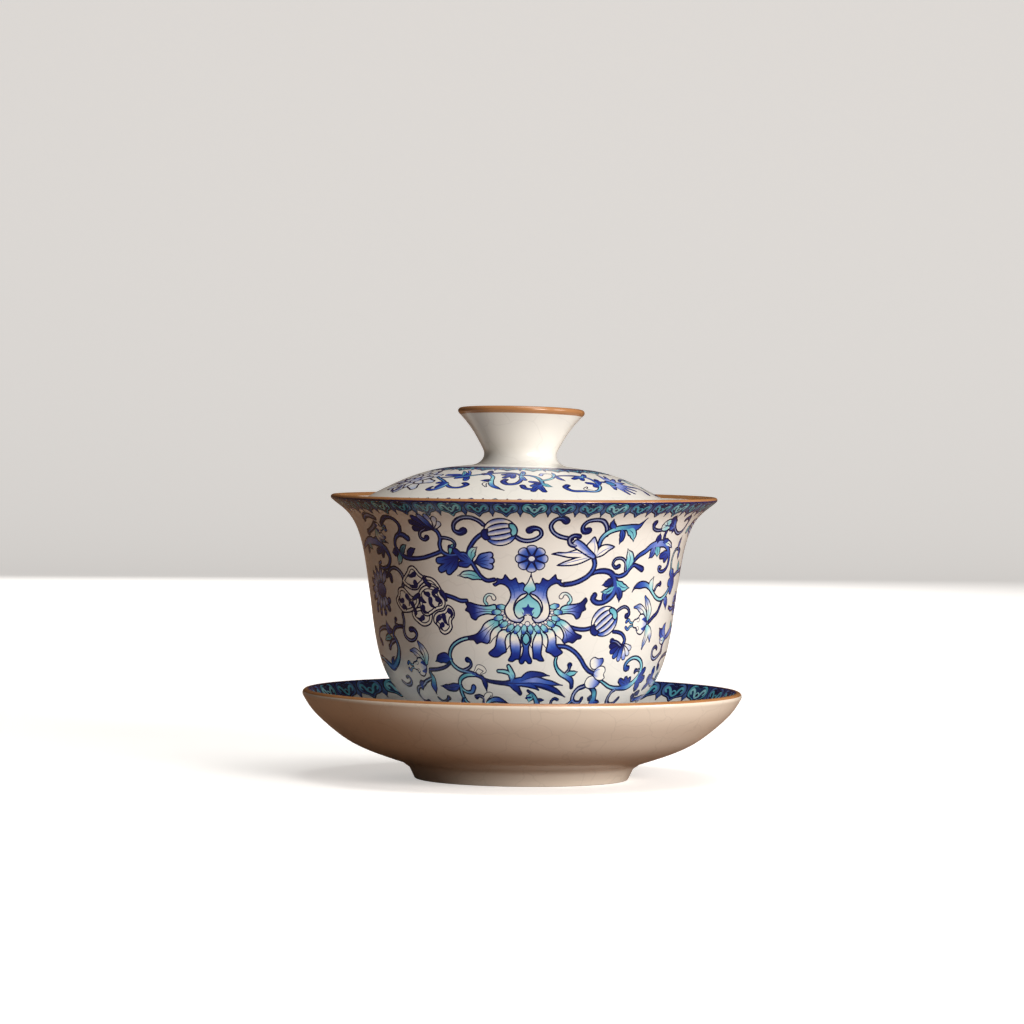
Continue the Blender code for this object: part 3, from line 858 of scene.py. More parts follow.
def right_scrolls(s):
    # Long spray above the lily.
    s.stroke([(18.6, 61.9), (19.0, 63.6), (20.5, 65.2), (23, 66.2), (26, 66.4), (28.6, 66.6), (30.2, 68.8)],
             [1.2, 1.4, 1.6, 1.9, 0.3], (BLUE, AQUA, TURQUOISE, BLUE, COBALT))
    leaf(s, (24.0, 66.0), (24.2, 62.2), 1.5, 0.15, NIGHTFALL)
    leaf(s, (25.4, 66.0), (28.4, 62.8), 2.0, 0.2, SEA)
    leaf(s, (22.2, 66.2), (20.8, 68.6), 1.4, 0.2, NIGHTFALL, vein=False)
    # Scroll under the lily, round to a bulb.
    stem(s, [(16.6, 54.4), (18.6, 55.2), (20.8, 55.4), (22.8, 54.9), (24.0, 53.6), (24.5, 51.8),
             (24.3, 50.0), (23.2, 48.5), (21.4, 47.5), (19.4, 47.4), (18.2, 48.3), (18.7, 49.3)],
         (BLUE, COBALT, BLUE, COBALT), (1.1, 1.5, 1.9, 1.4, 1.5))
    leaf(s, (24.2, 50.6), (21.6, 46.8), 1.6, -0.3, NIGHTFALL)
    leaf(s, (23.8, 53.4), (20.6, 51.8), 1.7, 0.1, DEEP)
    leaf(s, (24.2, 51.4), (20.4, 50.1), 1.6, 0.15, SEA)
    leaf(s, (24.8, 52.8), (29.2, 51.0), 2.0, -0.15, SEA)
    leaf(s, (24.8, 51.6), (26.2, 47.4), 1.9, 0.15, STORM)
    # Branch from there to the upper right.
    stem(s, [(23.6, 54.4), (25.4, 54.0), (27.3, 54.6), (28.7, 56), (30, 56.8), (31.5, 56.3),
             (33.0, 55.7)], NIGHTFALL, (1.1, 1.3, 1.1, 1.6))
    hook(s, [(27.3, 55.4), (27.0, 57.6), (25.5, 58.6), (23.7, 58.3), (23.2, 57.1), (24.2, 56.2),
             (25.1, 56.6)], (LILAC, BLUE), 0.95, 1.2)
    leaf(s, (27.8, 55.6), (27.1, 61.0), 2.3, -0.18, WAVE)
    s.stroke([(28.7, 56.4), (30.8, 58.9), (33.4, 60.3), (35.2, 61.5), (38.2, 62.1), (41.0, 61.9),
              (43.2, 60.5), (44.6, 58.4), (44.5, 56.4), (43.2, 55.2), (41.4, 54.9), (40.1, 55.3),
              (39.9, 56.1), (41.0, 56.0)], [0.9, 1.4, 2.1, 1.5, 1.1, 0.9], PLUME)
    leaf(s, (37.4, 62.2), (37.4, 64.8), 1.9, 0.0, DEEP)
    leaf(s, (36.4, 61.6), (35.0, 58.4), 1.9, 0.15, (LILAC, COBALT))
    leaf(s, (37.2, 61.2), (38.4, 58.7), 2.1, 0.15, SEA)
    fan(s, (43.2, 60.0), [(40.2, 58.9), (42.4, 58.0)], 1.9, NIGHTFALL)
    leaf(s, (40.6, 62.4), (45.2, 60.9), 1.5, 0.06, FROST)
    leaf(s, (39.6, 62.4), (42.6, 62.9), 1.5, 0.0, NIGHTFALL, vein=False)
    stem(s, [(40.1, 62.4), (39.6, 64.2), (39.9, 66.2)], DEEP)
    # Fan head at the far right with its two hooks.
    s.next()
    s.blob([(37.2, 65.4), (36.7, 66.9), (37.6, 68.2), (39.2, 68.6), (41.0, 66.6), (39.4, 65.2)], (WHITE,
                                                                                                  FROST[0],
                                                                                                  WHITE),
           axis=((37, 67), (41, 66.4)))
    for end in ((37.2, 66.0), (37.3, 67.0), (38.0, 67.9)):
        s.vein([(41.0, 66.6), (39.2, 66.7), end], 0.24)
    fan(s, (42.9, 66.2), [(40.0, 68.3), (40.3, 67.0)], 2.1, (LILAC, BLUE, NAVY))
    hook(s, [(37.2, 65.6), (35.4, 65.6), (34.0, 66.2), (33.7, 67.4)], (COBALT, COBALT), 1.0, 1.7)
    hook(s, [(42.6, 66.4), (44.3, 65.2), (46.4, 64.6), (48.6, 65.3), (49.5, 66.9), (49.0, 68.2),
             (47.6, 68.7), (46.6, 68.2)], NIGHTFALL, 1.05, 1.3)
    leaf(s, (42.6, 66.2), (42.6, 64.7), 1.1, 0.0, DEEP, vein=False)
    s.next()
    # Leaf in the middle right, running into the scroll at the edge.
    s.stroke([(30.4, 49.9), (31.2, 51.0), (33, 51.6), (35.2, 51.7), (37.2, 50.9), (39.0, 49.4),
              (40.8, 48.2), (43.0, 47.7), (45.2, 48.3), (47.2, 49.7), (48.6, 51.4)],
             [0.3, 2.0, 1.5, 1.2, 1.2, 1.3, 1.2], (NAVY, BLUE, AQUA, AQUA, AQUA, BLUE))
    s.stroke([(38.4, 50.0), (37.6, 51.8), (38.4, 53.6)], [0.9, 2.0, 0.4], (AQUA, WHITE), line=0.3)
    hook(s, [(39.6, 50.2), (40.4, 51.3), (41.9, 51.7)], (BLUE, BLUE), 0.9, 1.6)
    fan(s, (50.2, 53.6), [(47.4, 51.8), (49.2, 49.9), (47.6, 54.6)], 2.4, ROYAL)
    leaf(s, (45.2, 48.0), (47.4, 44.9), 1.9, 0.2, (LILAC, BLUE, COBALT))
    stem(s, [(38.6, 42.0), (40.4, 43.2), (42.4, 44.4), (43.6, 46.2), (44.4, 47.6)], SHADE)
    hook(s, [(48.2, 54.2), (47.1, 56.0), (46.9, 58.2), (47.9, 60.2), (49.8, 60.6), (51.8, 59.8)], SEA,
         1.1, 1.3)
    leaf(s, (49.9, 60.6), (50.3, 63.8), 1.3, 0.1, HEATHER, vein=False)
    leaf(s, (50.8, 60.2), (51.2, 57.7), 1.5, 0.1, HEATHER, vein=False)


def second_pod(s):
    """The pod at the right of the lotus, with its stem, its curl and a ribbed fan."""
    stem(s, [(11.8, 41.4), (14.0, 40.8), (16.4, 40.6), (18.6, 41.0)], ROYAL)
    hook(s, [(25.4, 44.6), (26.6, 45.6), (28.4, 46.2), (29.8, 45.5), (30.1, 44.4), (29.3, 43.8)], ROYAL,
         0.95, 1.5)
    stem(s, [(25.4, 39.9), (27.2, 39.7), (28.7, 39.0), (29.6, 37.7), (29.2, 36.2)], ROYAL, (1.0, 1.1))
    s.next()
    bud(s, 22.3, 42.6, 4.3, 3.8, 38)
    ribbed(s, (29.0, 36.3), (((25.2, 36.2), (NAVY, NAVY)), ((25.6, 34.8), DEEP), ((26.7, 33.6), DAYBREAK),
                             ((31.9, 35.6), RIB), ((31.4, 34.2), RIB),
                             ((30.2, 33.2), (NAVY, WHITE, LILAC)), ((28.4, 32.9), DUSK)))
    hook(s, [(28.4, 36.2), (26.8, 37.2), (25.3, 37.5)], SHADE, 1.1, 1.6)
    s.next()


def orchid(s, x, y, angle, size=1.0, lower=True):
    """A small white orchid with striped sepals, a lobed lip and two blue cheeks."""

    def at(points):
        return turned_about(np.array(points, float) * size, angle) + [x, y]

    for points in ([(1.6, 1.0), (0.2, 3.0), (-2.0, 4.4), (-3.6, 4.4)], [(2.4, 1.2), (2.6, 3.4),
                                                                        (1.4, 5.4), (0.2, 7.0)]):
        s.stroke(at(points), [1.2, 2.1, 2.0, 0.8], (AQUA, WHITE, BLUE), line=0.3)
    s.vein(at([(1.4, 1.6), (-0.4, 3.6), (-2.8, 4.5)]))
    s.vein(at([(2.4, 2.0), (2.1, 4.2), (0.7, 6.1)]))
    if lower:
        for points in ([(2.2, -0.8), (2.8, -2.8), (2.0, -5.0), (1.6, -6.4)], [(2.6, -0.6), (4.2, -2.4),
                                                                              (4.8, -4.6)]):
            s.stroke(at(points), [1.2, 1.9, 1.7, 0.6], (AQUA, WHITE, BLUE), line=0.3)
        s.vein(at([(2.4, -1.6), (2.5, -3.4), (1.9, -5.2)]))
    s.next()
    s.blob(at([(2.4, 0.2), (1.6, 1.6), (0.4, 2.7), (-1.2, 2.6), (-1.9, 1.7), (-3.3, 1.3), (-3.9, 0.2),
               (-3.4, -0.9), (-2.2, -1.2), (-1.6, -2.4), (0.2, -2.8), (1.6, -1.6)]),
           (LILAC, WHITE, WHITE), axis=(at([(2.4, 0)])[0], at([(-3, 0)])[0]))
    for side in (-1, 1):
        s.vein(at([(-2.6, side), (-2.0, 1.7 * side), (-1.1, 1.3 * side), (-1.4, 0.6 * side),
                   (-2.1, 0.7 * side)]), 0.22, (TEAL, NAVY))
        s.stroke(at([(1.9, 0.5 * side), (1.0, 1.2 * side), (0.1, 1.2 * side)]), [0.5, 1.0, 0.4], DAYBREAK,
                 ink=None, level=1)
        s.stroke(at([(-3.5, 0.4 * side), (-4.6, 0.5 * side), (-5.4, 1.3 * side), (-6.1, 0.7 * side)]),
                 [0.6, 0.7, 0.8, 0.9], BROOK, line=0.26)
    s.next()


def lower_right(s):
    stem(s, [(9.2, 36.4), (11.6, 36.2), (14.0, 35.0), (16.0, 33.2), (17.6, 31.2), (19.2, 29.9),
             (20.6, 29.4)], NIGHTFALL, (1.2, 1.2))
    # Turquoise curl with a navy bud and a leaf tip.
    s.stroke([(9.2, 33.9), (8.9, 32.3), (9.5, 30.7), (10.9, 29.3), (12.8, 28.4), (14.2, 27.4),
              (14.7, 25.8)], [0.9, 1.1, 1.5, 1.6, 1.2], (AQUA, TURQUOISE, AQUA, BLUE, NAVY))
    hook(s, [(12.2, 29.3), (13.0, 30.4), (13.1, 31.5)], (AQUA, NAVY), 1.0, 1.5)
    leaf(s, (12.4, 29.3), (15.7, 29.8), 1.4, -0.06, SEA, vein=False)
    # Stems out of the orchid.
    s.stroke([(23.2, 27.6), (25.2, 26.7), (27.6, 25.7), (30.6, 25.2), (34.0, 25.3), (36.8, 25.9),
              (38.6, 27.4), (39.4, 29.4), (38.6, 31.4), (36.8, 32.6), (34.6, 33.0), (32.6, 32.4),
              (31.6, 31.2), (32.0, 30.3), (32.9, 30.3)], [0.9, 1.1, 1.3, 2.0, 1.5, 1.2, 1.1, 1.6],
             (TURQUOISE, AQUA, BLUE, AQUA, AQUA, AQUA, COBALT))
    fan(s, (35.4, 25.9), [(31.2, 27.2), (33.4, 27.6), (35.2, 27.4)], 1.6, NIGHTFALL)
    fan(s, (39.0, 26.6), [(41.2, 29.4), (42.4, 27.2), (41.4, 24.9)], 2.1, NIGHTFALL)
    hook(s, [(39.2, 29.4), (38.2, 29.7), (36.8, 29.5)], HEATHER, 1.0, 1.6)
    hook(s, [(30.8, 24.9), (29.7, 24.1), (29.6, 22.6), (30.6, 21.3), (32.4, 20.8), (34.0, 21.2),
             (34.6, 22.1)], STORM, 1.3, 1.6)
    hook(s, [(18.8, 26.0), (16.9, 25.3), (16.0, 23.8), (16.3, 22.3), (17.8, 21.6), (19.2, 21.8),
             (19.3, 22.7)], DAYBREAK, 1.4, 1.2)
    s.stroke([(20.8, 25.6), (22.6, 24.6), (23.6, 23.0), (24.0, 21.0)], [1.0, 1.7, 2.4],
             (NAVY, TURQUOISE, BLUE))
    leaf(s, (23.2, 22.8), (21.3, 22.9), 1.5, 0.0, (TEAL, NAVY), vein=False)
    leaf(s, (24.2, 21.7), (27.0, 21.5), 1.1, 0.0, STORM, vein=False)
    s.stroke([(13.8, 20.6), (15.2, 21.2), (16.4, 22.4)], [1.1, 1.1], BROOK)
    # Right edge: hooked spray and the low leaf.
    s.stroke([(49.6, 33.8), (49.4, 35.6), (50.4, 37.2), (53.0, 38.2), (56.6, 39.4), (60.4, 39.2),
              (63.0, 37.6)], [1.2, 1.4, 2.2, 1.6, 1.2], (NAVY, BLUE, LILAC, BLUE, COBALT))
    hook(s, [(49.8, 34.1), (47.6, 32.9), (45.2, 32.3), (43.4, 33.2), (43.2, 34.8), (44.6, 35.5),
             (45.8, 34.9)], DUSK, 1.15, 1.0)
    leaf(s, (50.2, 37.9), (45.0, 40.3), 2.3, 0.1, (LILAC, BLUE, NAVY))
    leaf(s, (50.2, 38.2), (49.6, 41.6), 1.9, 0.5, (LILAC, BLUE), vein=False)
    leaf(s, (50.0, 37.2), (46.2, 37.4), 1.9, 0.1, FROST)


def left_scrolls(s):
    # Turquoise scroll under the lotus with a navy hook.
    stem(s, [(-10.2, 38.9), (-12.2, 38.4), (-15.0, 38.1), (-17.5, 37.3), (-19.6, 35.8), (-20.6, 33.7),
             (-20.2, 31.6), (-18.4, 30.1), (-16.0, 29.5), (-13.4, 28.9)],
         (BLUE, AQUA, TURQUOISE, AQUA, BLUE), (1.1, 1.2, 1.2, 1.2))
    hook(s, [(-17.0, 29.8), (-15.4, 30.4), (-14.5, 31.2), (-14.6, 32.2), (-15.4, 32.6)], STORM, 1.0, 1.5)
    leaf(s, (-20.2, 32.6), (-25.6, 31.8), 2.3, -0.12, GULF)
    stem(s, [(-20.4, 31.9), (-22.4, 30.6), (-25.0, 29.9), (-28.2, 29.6)], DEEP, (0.9, 1.1))
    s.stroke([(-13.6, 29.6), (-12.4, 30.9), (-10.6, 29.9), (-11.8, 29.0)], [0.6, 1.3, 0.5], SNOW, line=0.2)
    # Second scroll below it.
    s.stroke([(-13.6, 28.8), (-16.4, 28.6), (-18.4, 27.4), (-18.9, 25.7), (-17.6, 24.3), (-15.6, 24.3),
              (-14.6, 25.6)], [1.2, 1.3, 1.2, 1.1, 1.5], (AQUA, TURQUOISE, AQUA, BLUE))
    leaf(s, (-18.6, 26.0), (-25.9, 25.5), 1.8, 0.08, GULF)
    stem(s, [(-18.8, 25.8), (-19.1, 23.6), (-18.6, 21.4), (-17.0, 20.4)], SEA, (1.4, 1.4))
    stem(s, [(-19.0, 22.6), (-20.6, 20.8)], (TEAL, BLUE))
    # The feathery leaf across the bottom.
    s.stroke([(-14.4, 29.0), (-12.4, 28.4), (-10.6, 27.5), (-7.0, 26.9), (-3.6, 26.8), (0.2, 27.3),
              (3.6, 27.4), (8.0, 26.9), (11.8, 26.3)], [1.1, 1.0, 1.2, 2.4, 2.6, 1.6, 0.3],
             (BLUE, NAVY, NAVY, BLUE, LILAC, BLUE, COBALT))
    s.stroke([(-1.0, 27.4), (2.0, 29.0), (5.0, 29.1), (7.6, 28.8)], [1.0, 2.0, 1.5, 0.3], GULF)
    s.stroke([(1.6, 26.9), (5.4, 26.4), (9.6, 25.0), (13.4, 23.2)], [1.2, 1.7, 1.5, 0.3], GULF)
    s.stroke([(0.0, 26.6), (2.6, 26.3), (4.8, 25.1)], [1.4, 1.6, 0.5], NIGHTFALL)
    s.stroke([(-4.0, 26.6), (-2.0, 25.7), (-0.7, 24.2)], [1.0, 2.0, 1.3], GULF)
    s.vein([(-6.0, 26.7), (-1.0, 26.8), (4.0, 26.9), (9.0, 26.3)], 0.3)
    s.vein([(-0.4, 27.4), (2.6, 28.3), (6.0, 28.6)], 0.26)
    s.vein([(2.6, 26.6), (6.8, 25.6), (11.0, 24.1)], 0.26)
    s.stroke([(-11.6, 28.2), (-10.9, 26.6), (-10.8, 24.6)], [1.1, 1.5, 0.4], SHADE)
    s.stroke([(-3.2, 27.2), (-3.0, 29.0), (-3.4, 30.2), (-3.9, 31.2)], [1.0, 2.0, 1.5, 1.2],
             (BLUE, AQUA, AQUA))
    s.stroke([(-3.0, 28.2), (-3.9, 29.4), (-5.2, 29.8), (-6.8, 29.9)], [1.0, 1.3, 1.1], (AQUA, AQUA))
    s.stroke([(1.6, 24.9), (3.2, 23.8), (4.4, 22.2), (5.0, 20.6)], [0.8, 1.3, 2.0], (NAVY, TURQUOISE, BLUE))
    leaf(s, (2.6, 24.0), (2.0, 21.9), 1.9, 0.0, SEA, vein=False)
    leaf(s, (3.0, 23.2), (0.9, 22.9), 1.1, 0.0, DEEP, vein=False)
    leaf(s, (4.6, 22.4), (6.8, 22.4), 0.9, 0.0, DEEP, vein=False)
    hook(s, [(14.0, 20.5), (11.4, 20.6), (9.5, 21.0), (9.3, 22.1), (10.1, 22.8), (11.3, 22.5)], DEEP, 1.0,
         0.8)
    s.stroke([(-15.6, 20.4), (-12.4, 21.0), (-9.8, 22.2), (-7.6, 22.4), (-4.0, 21.2)], [1.1, 1.2, 1.6, 0.3],
             (TURQUOISE, AQUA, BLUE, NAVY))
    s.stroke([(-12.4, 21.4), (-11.2, 23.2), (-9.5, 23.9), (-9.6, 22.8)], [0.9, 1.5, 0.4], SNOW, line=0.22)
    hook(s, [(-12.6, 21.4), (-12.2, 22.6), (-13.4, 23.3), (-14.6, 23.0)], SHADE, 1.1, 1.3)
    # Left of the orchid.
    hook(s, [(-28.6, 27.3), (-31.0, 26.5), (-33.4, 25.2), (-36.0, 24.6), (-37.8, 23.0), (-37.8, 21.4),
             (-36.0, 20.8), (-34.6, 21.0)], (TURQUOISE, BLUE, NAVY), 1.1, 1.3)
    leaf(s, (-34.4, 24.4), (-32.0, 26.6), 1.5, 0.1, STORM, vein=False)
    s.stroke([(-28.4, 29.0), (-27.8, 27.2), (-28.6, 25.2), (-29.1, 23.2)], [1.1, 1.7, 2.1, 0.4],
             (TEAL, TURQUOISE, BLUE, NAVY))
    hook(s, [(-29.2, 22.2), (-28.2, 21.4), (-26.6, 21.5), (-24.6, 22.5)], (TURQUOISE, NAVY), 0.9, 1.3)
    hook(s, [(-43.6, 25.9), (-41.6, 25.1), (-39.4, 25.4), (-37.9, 26.4), (-38.6, 27.4), (-39.9, 27.1)],
         DEEP, 1.1, 0.9)
    # Stem under the net flower and the far left spray.
    hook(s, [(-36.0, 43.6), (-35.7, 41.6), (-36.2, 39.6), (-35.7, 37.8), (-33.9, 36.9), (-32.0, 37.3),
             (-31.1, 38.6), (-32.1, 39.7), (-33.4, 39.7)], DEEP, 1.1, 1.5)
    stem(s, [(-36.2, 40.3), (-38.4, 40.3), (-40.6, 39.6), (-41.6, 38.0), (-40.4, 36.4), (-39.9, 34.4),
             (-41.2, 32.0), (-43.6, 30.3), (-46.6, 29.4), (-49.6, 30.4), (-53.4, 31.4), (-57.4, 31.6),
             (-61.0, 33.6), (-63.0, 37.6)], (NAVY, BLUE, TURQUOISE, BLUE, AQUA, AQUA, BLUE),
         (1.1, 1.2, 1.9, 1.9, 1.4, 1.2, 1.2))
    hook(s, [(-38.6, 40.5), (-39.9, 40.9), (-39.5, 42.0)], DEEP, 0.9, 1.4)
    hook(s, [(-42.4, 39.0), (-45.0, 39.6), (-48.4, 39.4), (-51.2, 38.4), (-51.9, 36.8), (-50.4, 35.5)],
         DEEP, 1.3, 1.7)
    leaf(s, (-42.4, 38.6), (-45.0, 41.5), 2.1, 0.25, (COBALT, LILAC))
    leaf(s, (-42.8, 37.2), (-47.4, 36.3), 1.7, -0.08, SEA)
    hook(s, [(-41.4, 36.6), (-43.4, 35.8), (-45.0, 34.6)], SHADE, 1.4, 1.7)
    leaf(s, (-46.2, 29.9), (-43.3, 32.3), 1.1, 0.1, STORM, vein=False)
    # Big curl at the upper far left.
    s.stroke([(-60.2, 57.6), (-56.4, 59.6), (-52.4, 61.0), (-48.0, 61.9), (-43.6, 61.4), (-40.2, 59.9),
              (-38.9, 57.6), (-39.9, 55.8), (-42.0, 55.0), (-44.0, 55.2), (-44.9, 56.0), (-43.8, 56.5)],
             [1.0, 1.4, 2.2, 1.7, 1.2, 1.0], PLUME)
    leaf(s, (-45.4, 62.4), (-38.4, 61.5), 1.3, 0.08, (BLUE, AQUA))
    fan(s, (-41.6, 60.6), [(-44.6, 59.2), (-42.0, 58.4)], 1.7, SHADE)
    leaf(s, (-50.0, 61.2), (-47.4, 59.6), 1.5, 0.1, SEA)
    leaf(s, (-50.4, 60.9), (-51.0, 58.4), 1.7, 0.1, DEEP)
    hook(s, [(-41.6, 66.6), (-43.8, 65.4), (-46.0, 64.6), (-47.6, 64.0)], DEEP, 1.4, 1.7)
    hook(s, [(-40.6, 68.0), (-43.0, 68.6), (-45.2, 68.2), (-46.4, 67.4)], DEEP, 1.5, 1.3)


def peony(s):
    """A peony seen from above: overlapping petals with a pale rolled edge and dark comma strokes inside."""
    stem(s, [(-20.6, 48.9), (-18.4, 48.3), (-16.4, 47.6), (-14.8, 47.6)], ROYAL)
    s.next()
    petals = (([(-27.4, 53.7), (-25.8, 53.6), (-24.3, 53.3), (-22.9, 52.3), (-22.1, 51.2), (-21.6, 50.1),
                (-22.5, 49.6), (-24.5, 50.5), (-26.5, 51.2)], [[(-27.4, 53.0), (-26.7, 52.3),
                                                                (-26.4, 51.8)]]), ([(-34.9, 52.3),
                                                                                    (-33.9, 53.5),
                                                                                    (-32.8, 54.6),
                                                                                    (-31.9, 55.8),
                                                                                    (-30.5, 56.2),
                                                                                    (-29.3, 55.6),
                                                                                    (-28.2, 54.4),
                                                                                    (-27.0, 53.6),
                                                                                    (-26.7, 52.1),
                                                                                    (-28.2, 50.9),
                                                                                    (-29.1, 50.0),
                                                                                    (-30.9, 49.7),
                                                                                    (-33.2, 50.4),
                                                                                    (-34.6, 51.4)],
                                                                                   [[(-30.1, 53.9),
                                                                                     (-31.4, 53.4),
                                                                                     (-32.6, 53.4)],
                                                                                    [(-30.1, 51.8),
                                                                                     (-29.7, 51.0),
                                                                                     (-31.2, 50.7),
                                                                                     (-32.6, 51.4)]]),
              ([(-20.4, 46.5), (-19.1, 46.1), (-18.2, 44.8), (-18.3, 43.4), (-19.1, 42.3), (-19.0, 40.7),
                (-20.0, 39.3), (-21.6, 38.7), (-22.9, 39.3), (-23.6, 40.7), (-24.9, 42.0), (-24.7, 43.6),
                (-23.4, 44.7), (-21.4, 45.2)], [[(-21.6, 43.6), (-21.2, 42.2), (-20.4, 41.3)],
                                                [(-22.9, 43.1), (-23.6, 42.4), (-23.9, 41.7)],
                                                [(-22.1, 41.3), (-22.6, 40.8), (-22.3, 40.0)],
                                                [(-19.8, 44.9), (-19.1, 44.2), (-19.3, 43.2)]]),
              ([(-32.2, 44.3), (-31.9, 42.7), (-30.4, 41.5), (-28.6, 40.6), (-27.0, 40.7), (-25.6, 41.5),
                (-25.0, 42.9), (-24.9, 44.1), (-27.2, 45.4), (-29.8, 45.6)], [[(-28.3, 42.9),
                                                                               (-29.4, 42.4),
                                                                               (-30.2, 42.8)],
                                                                              [(-31.1, 44.9),
                                                                               (-30.6, 43.9),
                                                                               (-31.0, 43.3)]]),
              ([(-38.4, 46.8), (-38.3, 47.5), (-37.3, 48.6), (-37.1, 49.8), (-35.8, 50.6), (-34.1, 50.3),
                (-32.8, 49.2), (-31.3, 48.3), (-29.6, 48.9), (-29.0, 46.8), (-30.4, 45.0), (-32.4, 44.1),
                (-34.3, 43.8), (-35.8, 43.9), (-37.4, 45.2)], [[(-35.4, 47.0), (-36.4, 46.9),
                                                                (-36.7, 47.9)], [(-35.2, 45.5),
                                                                                 (-34.3, 45.2),
                                                                                 (-34.3, 44.5)],
                                                               [(-33.6, 48.2), (-32.6, 47.0),
                                                                (-33.0, 45.8)], [(-31.7, 46.3),
                                                                                 (-31.2, 45.3),
                                                                                 (-31.5, 44.7)]]),
              ([(-29.1, 47.9), (-29.3, 49.1), (-28.4, 50.4), (-26.7, 51.3), (-24.5, 51.2), (-22.5, 50.2),
                (-21.9, 49.0), (-20.9, 47.9), (-20.7, 46.6), (-21.4, 45.4), (-23.6, 44.7), (-24.9, 43.9),
                (-26.7, 43.2), (-28.4, 43.8), (-29.1, 45.4)], [[(-26.0, 48.9), (-27.0, 49.2),
                                                                (-27.4, 49.8)], [(-25.4, 47.7),
                                                                                 (-25.3, 46.4),
                                                                                 (-23.9, 45.5)],
                                                               [(-28.0, 45.6), (-27.7, 44.5),
                                                                (-26.3, 44.1)], [(-28.4, 47.6),
                                                                                 (-27.6, 47.0),
                                                                                 (-26.9, 46.8)],
                                                               [(-23.2, 47.8), (-22.3, 47.2),
                                                                (-23.0, 46.3)], [(-23.4, 49.9),
                                                                                 (-24.4, 49.3),
                                                                                 (-23.9, 48.5),
                                                                                 (-22.8, 48.3)]]),)
    for outline, commas in petals:
        loop, _ = curve(outline, closed=True)
        if area(loop) < 0:
            loop = loop[::-1]
        s.blob(outline, SNOW, line=0.42)
        s.shape_line(inset(loop, 1.05), 0.32, (INK, INK))
        for comma in commas:
            s.stroke(comma, [1.35, 0.95, 0.35], (NAVY, INK), ink=None, level=1)
        s.next()
    for mark in ([(-21.9, 49.7), (-21.1, 48.9), (-20.5, 47.6)], [(-29.2, 48.6), (-30.4, 48.0),
                                                                 (-31.4, 47.4)], [(-25.4, 51.2),
                                                                                  (-26.4, 52.0),
                                                                                  (-27.2, 53.0)]):
        s.stroke(mark, [1.3, 1.2, 0.8], DEEP)
    s.next()


def side_flower(s):
    """The striped flower at the left edge, mostly turned out of the front view."""
    x, y = -45.4, 49.4
    for number in range(11):
        angle = math.radians(60 + 24 * number)
        out = np.array([math.cos(angle), math.sin(angle)])
        far = np.array([x, y]) + out * [6.8, 5.6]
        near = np.array([x, y]) + out * [2.2, 1.8]
        s.stroke([near, (near + far) / 2, far], [1.2, 2.1, 1.5], (BLUE, PALE, LILAC, NAVY))
    s.next()
    s.dot((x, y), 2.7, HEATHER, ink=NAVY, tall=0.75, top=False)
    s.next()
    for lobe in ((-42.4, 44.9), (-41.8, 46.7), (-44.6, 43.6), (-47.4, 43.5), (-50.0, 44.2)):
        s.dot(lobe, 1.0, HEATHER, ink=NAVY, top=False)
    s.next()
    orchid(s, -41.2, 65.4, 180, 0.55, lower=False)


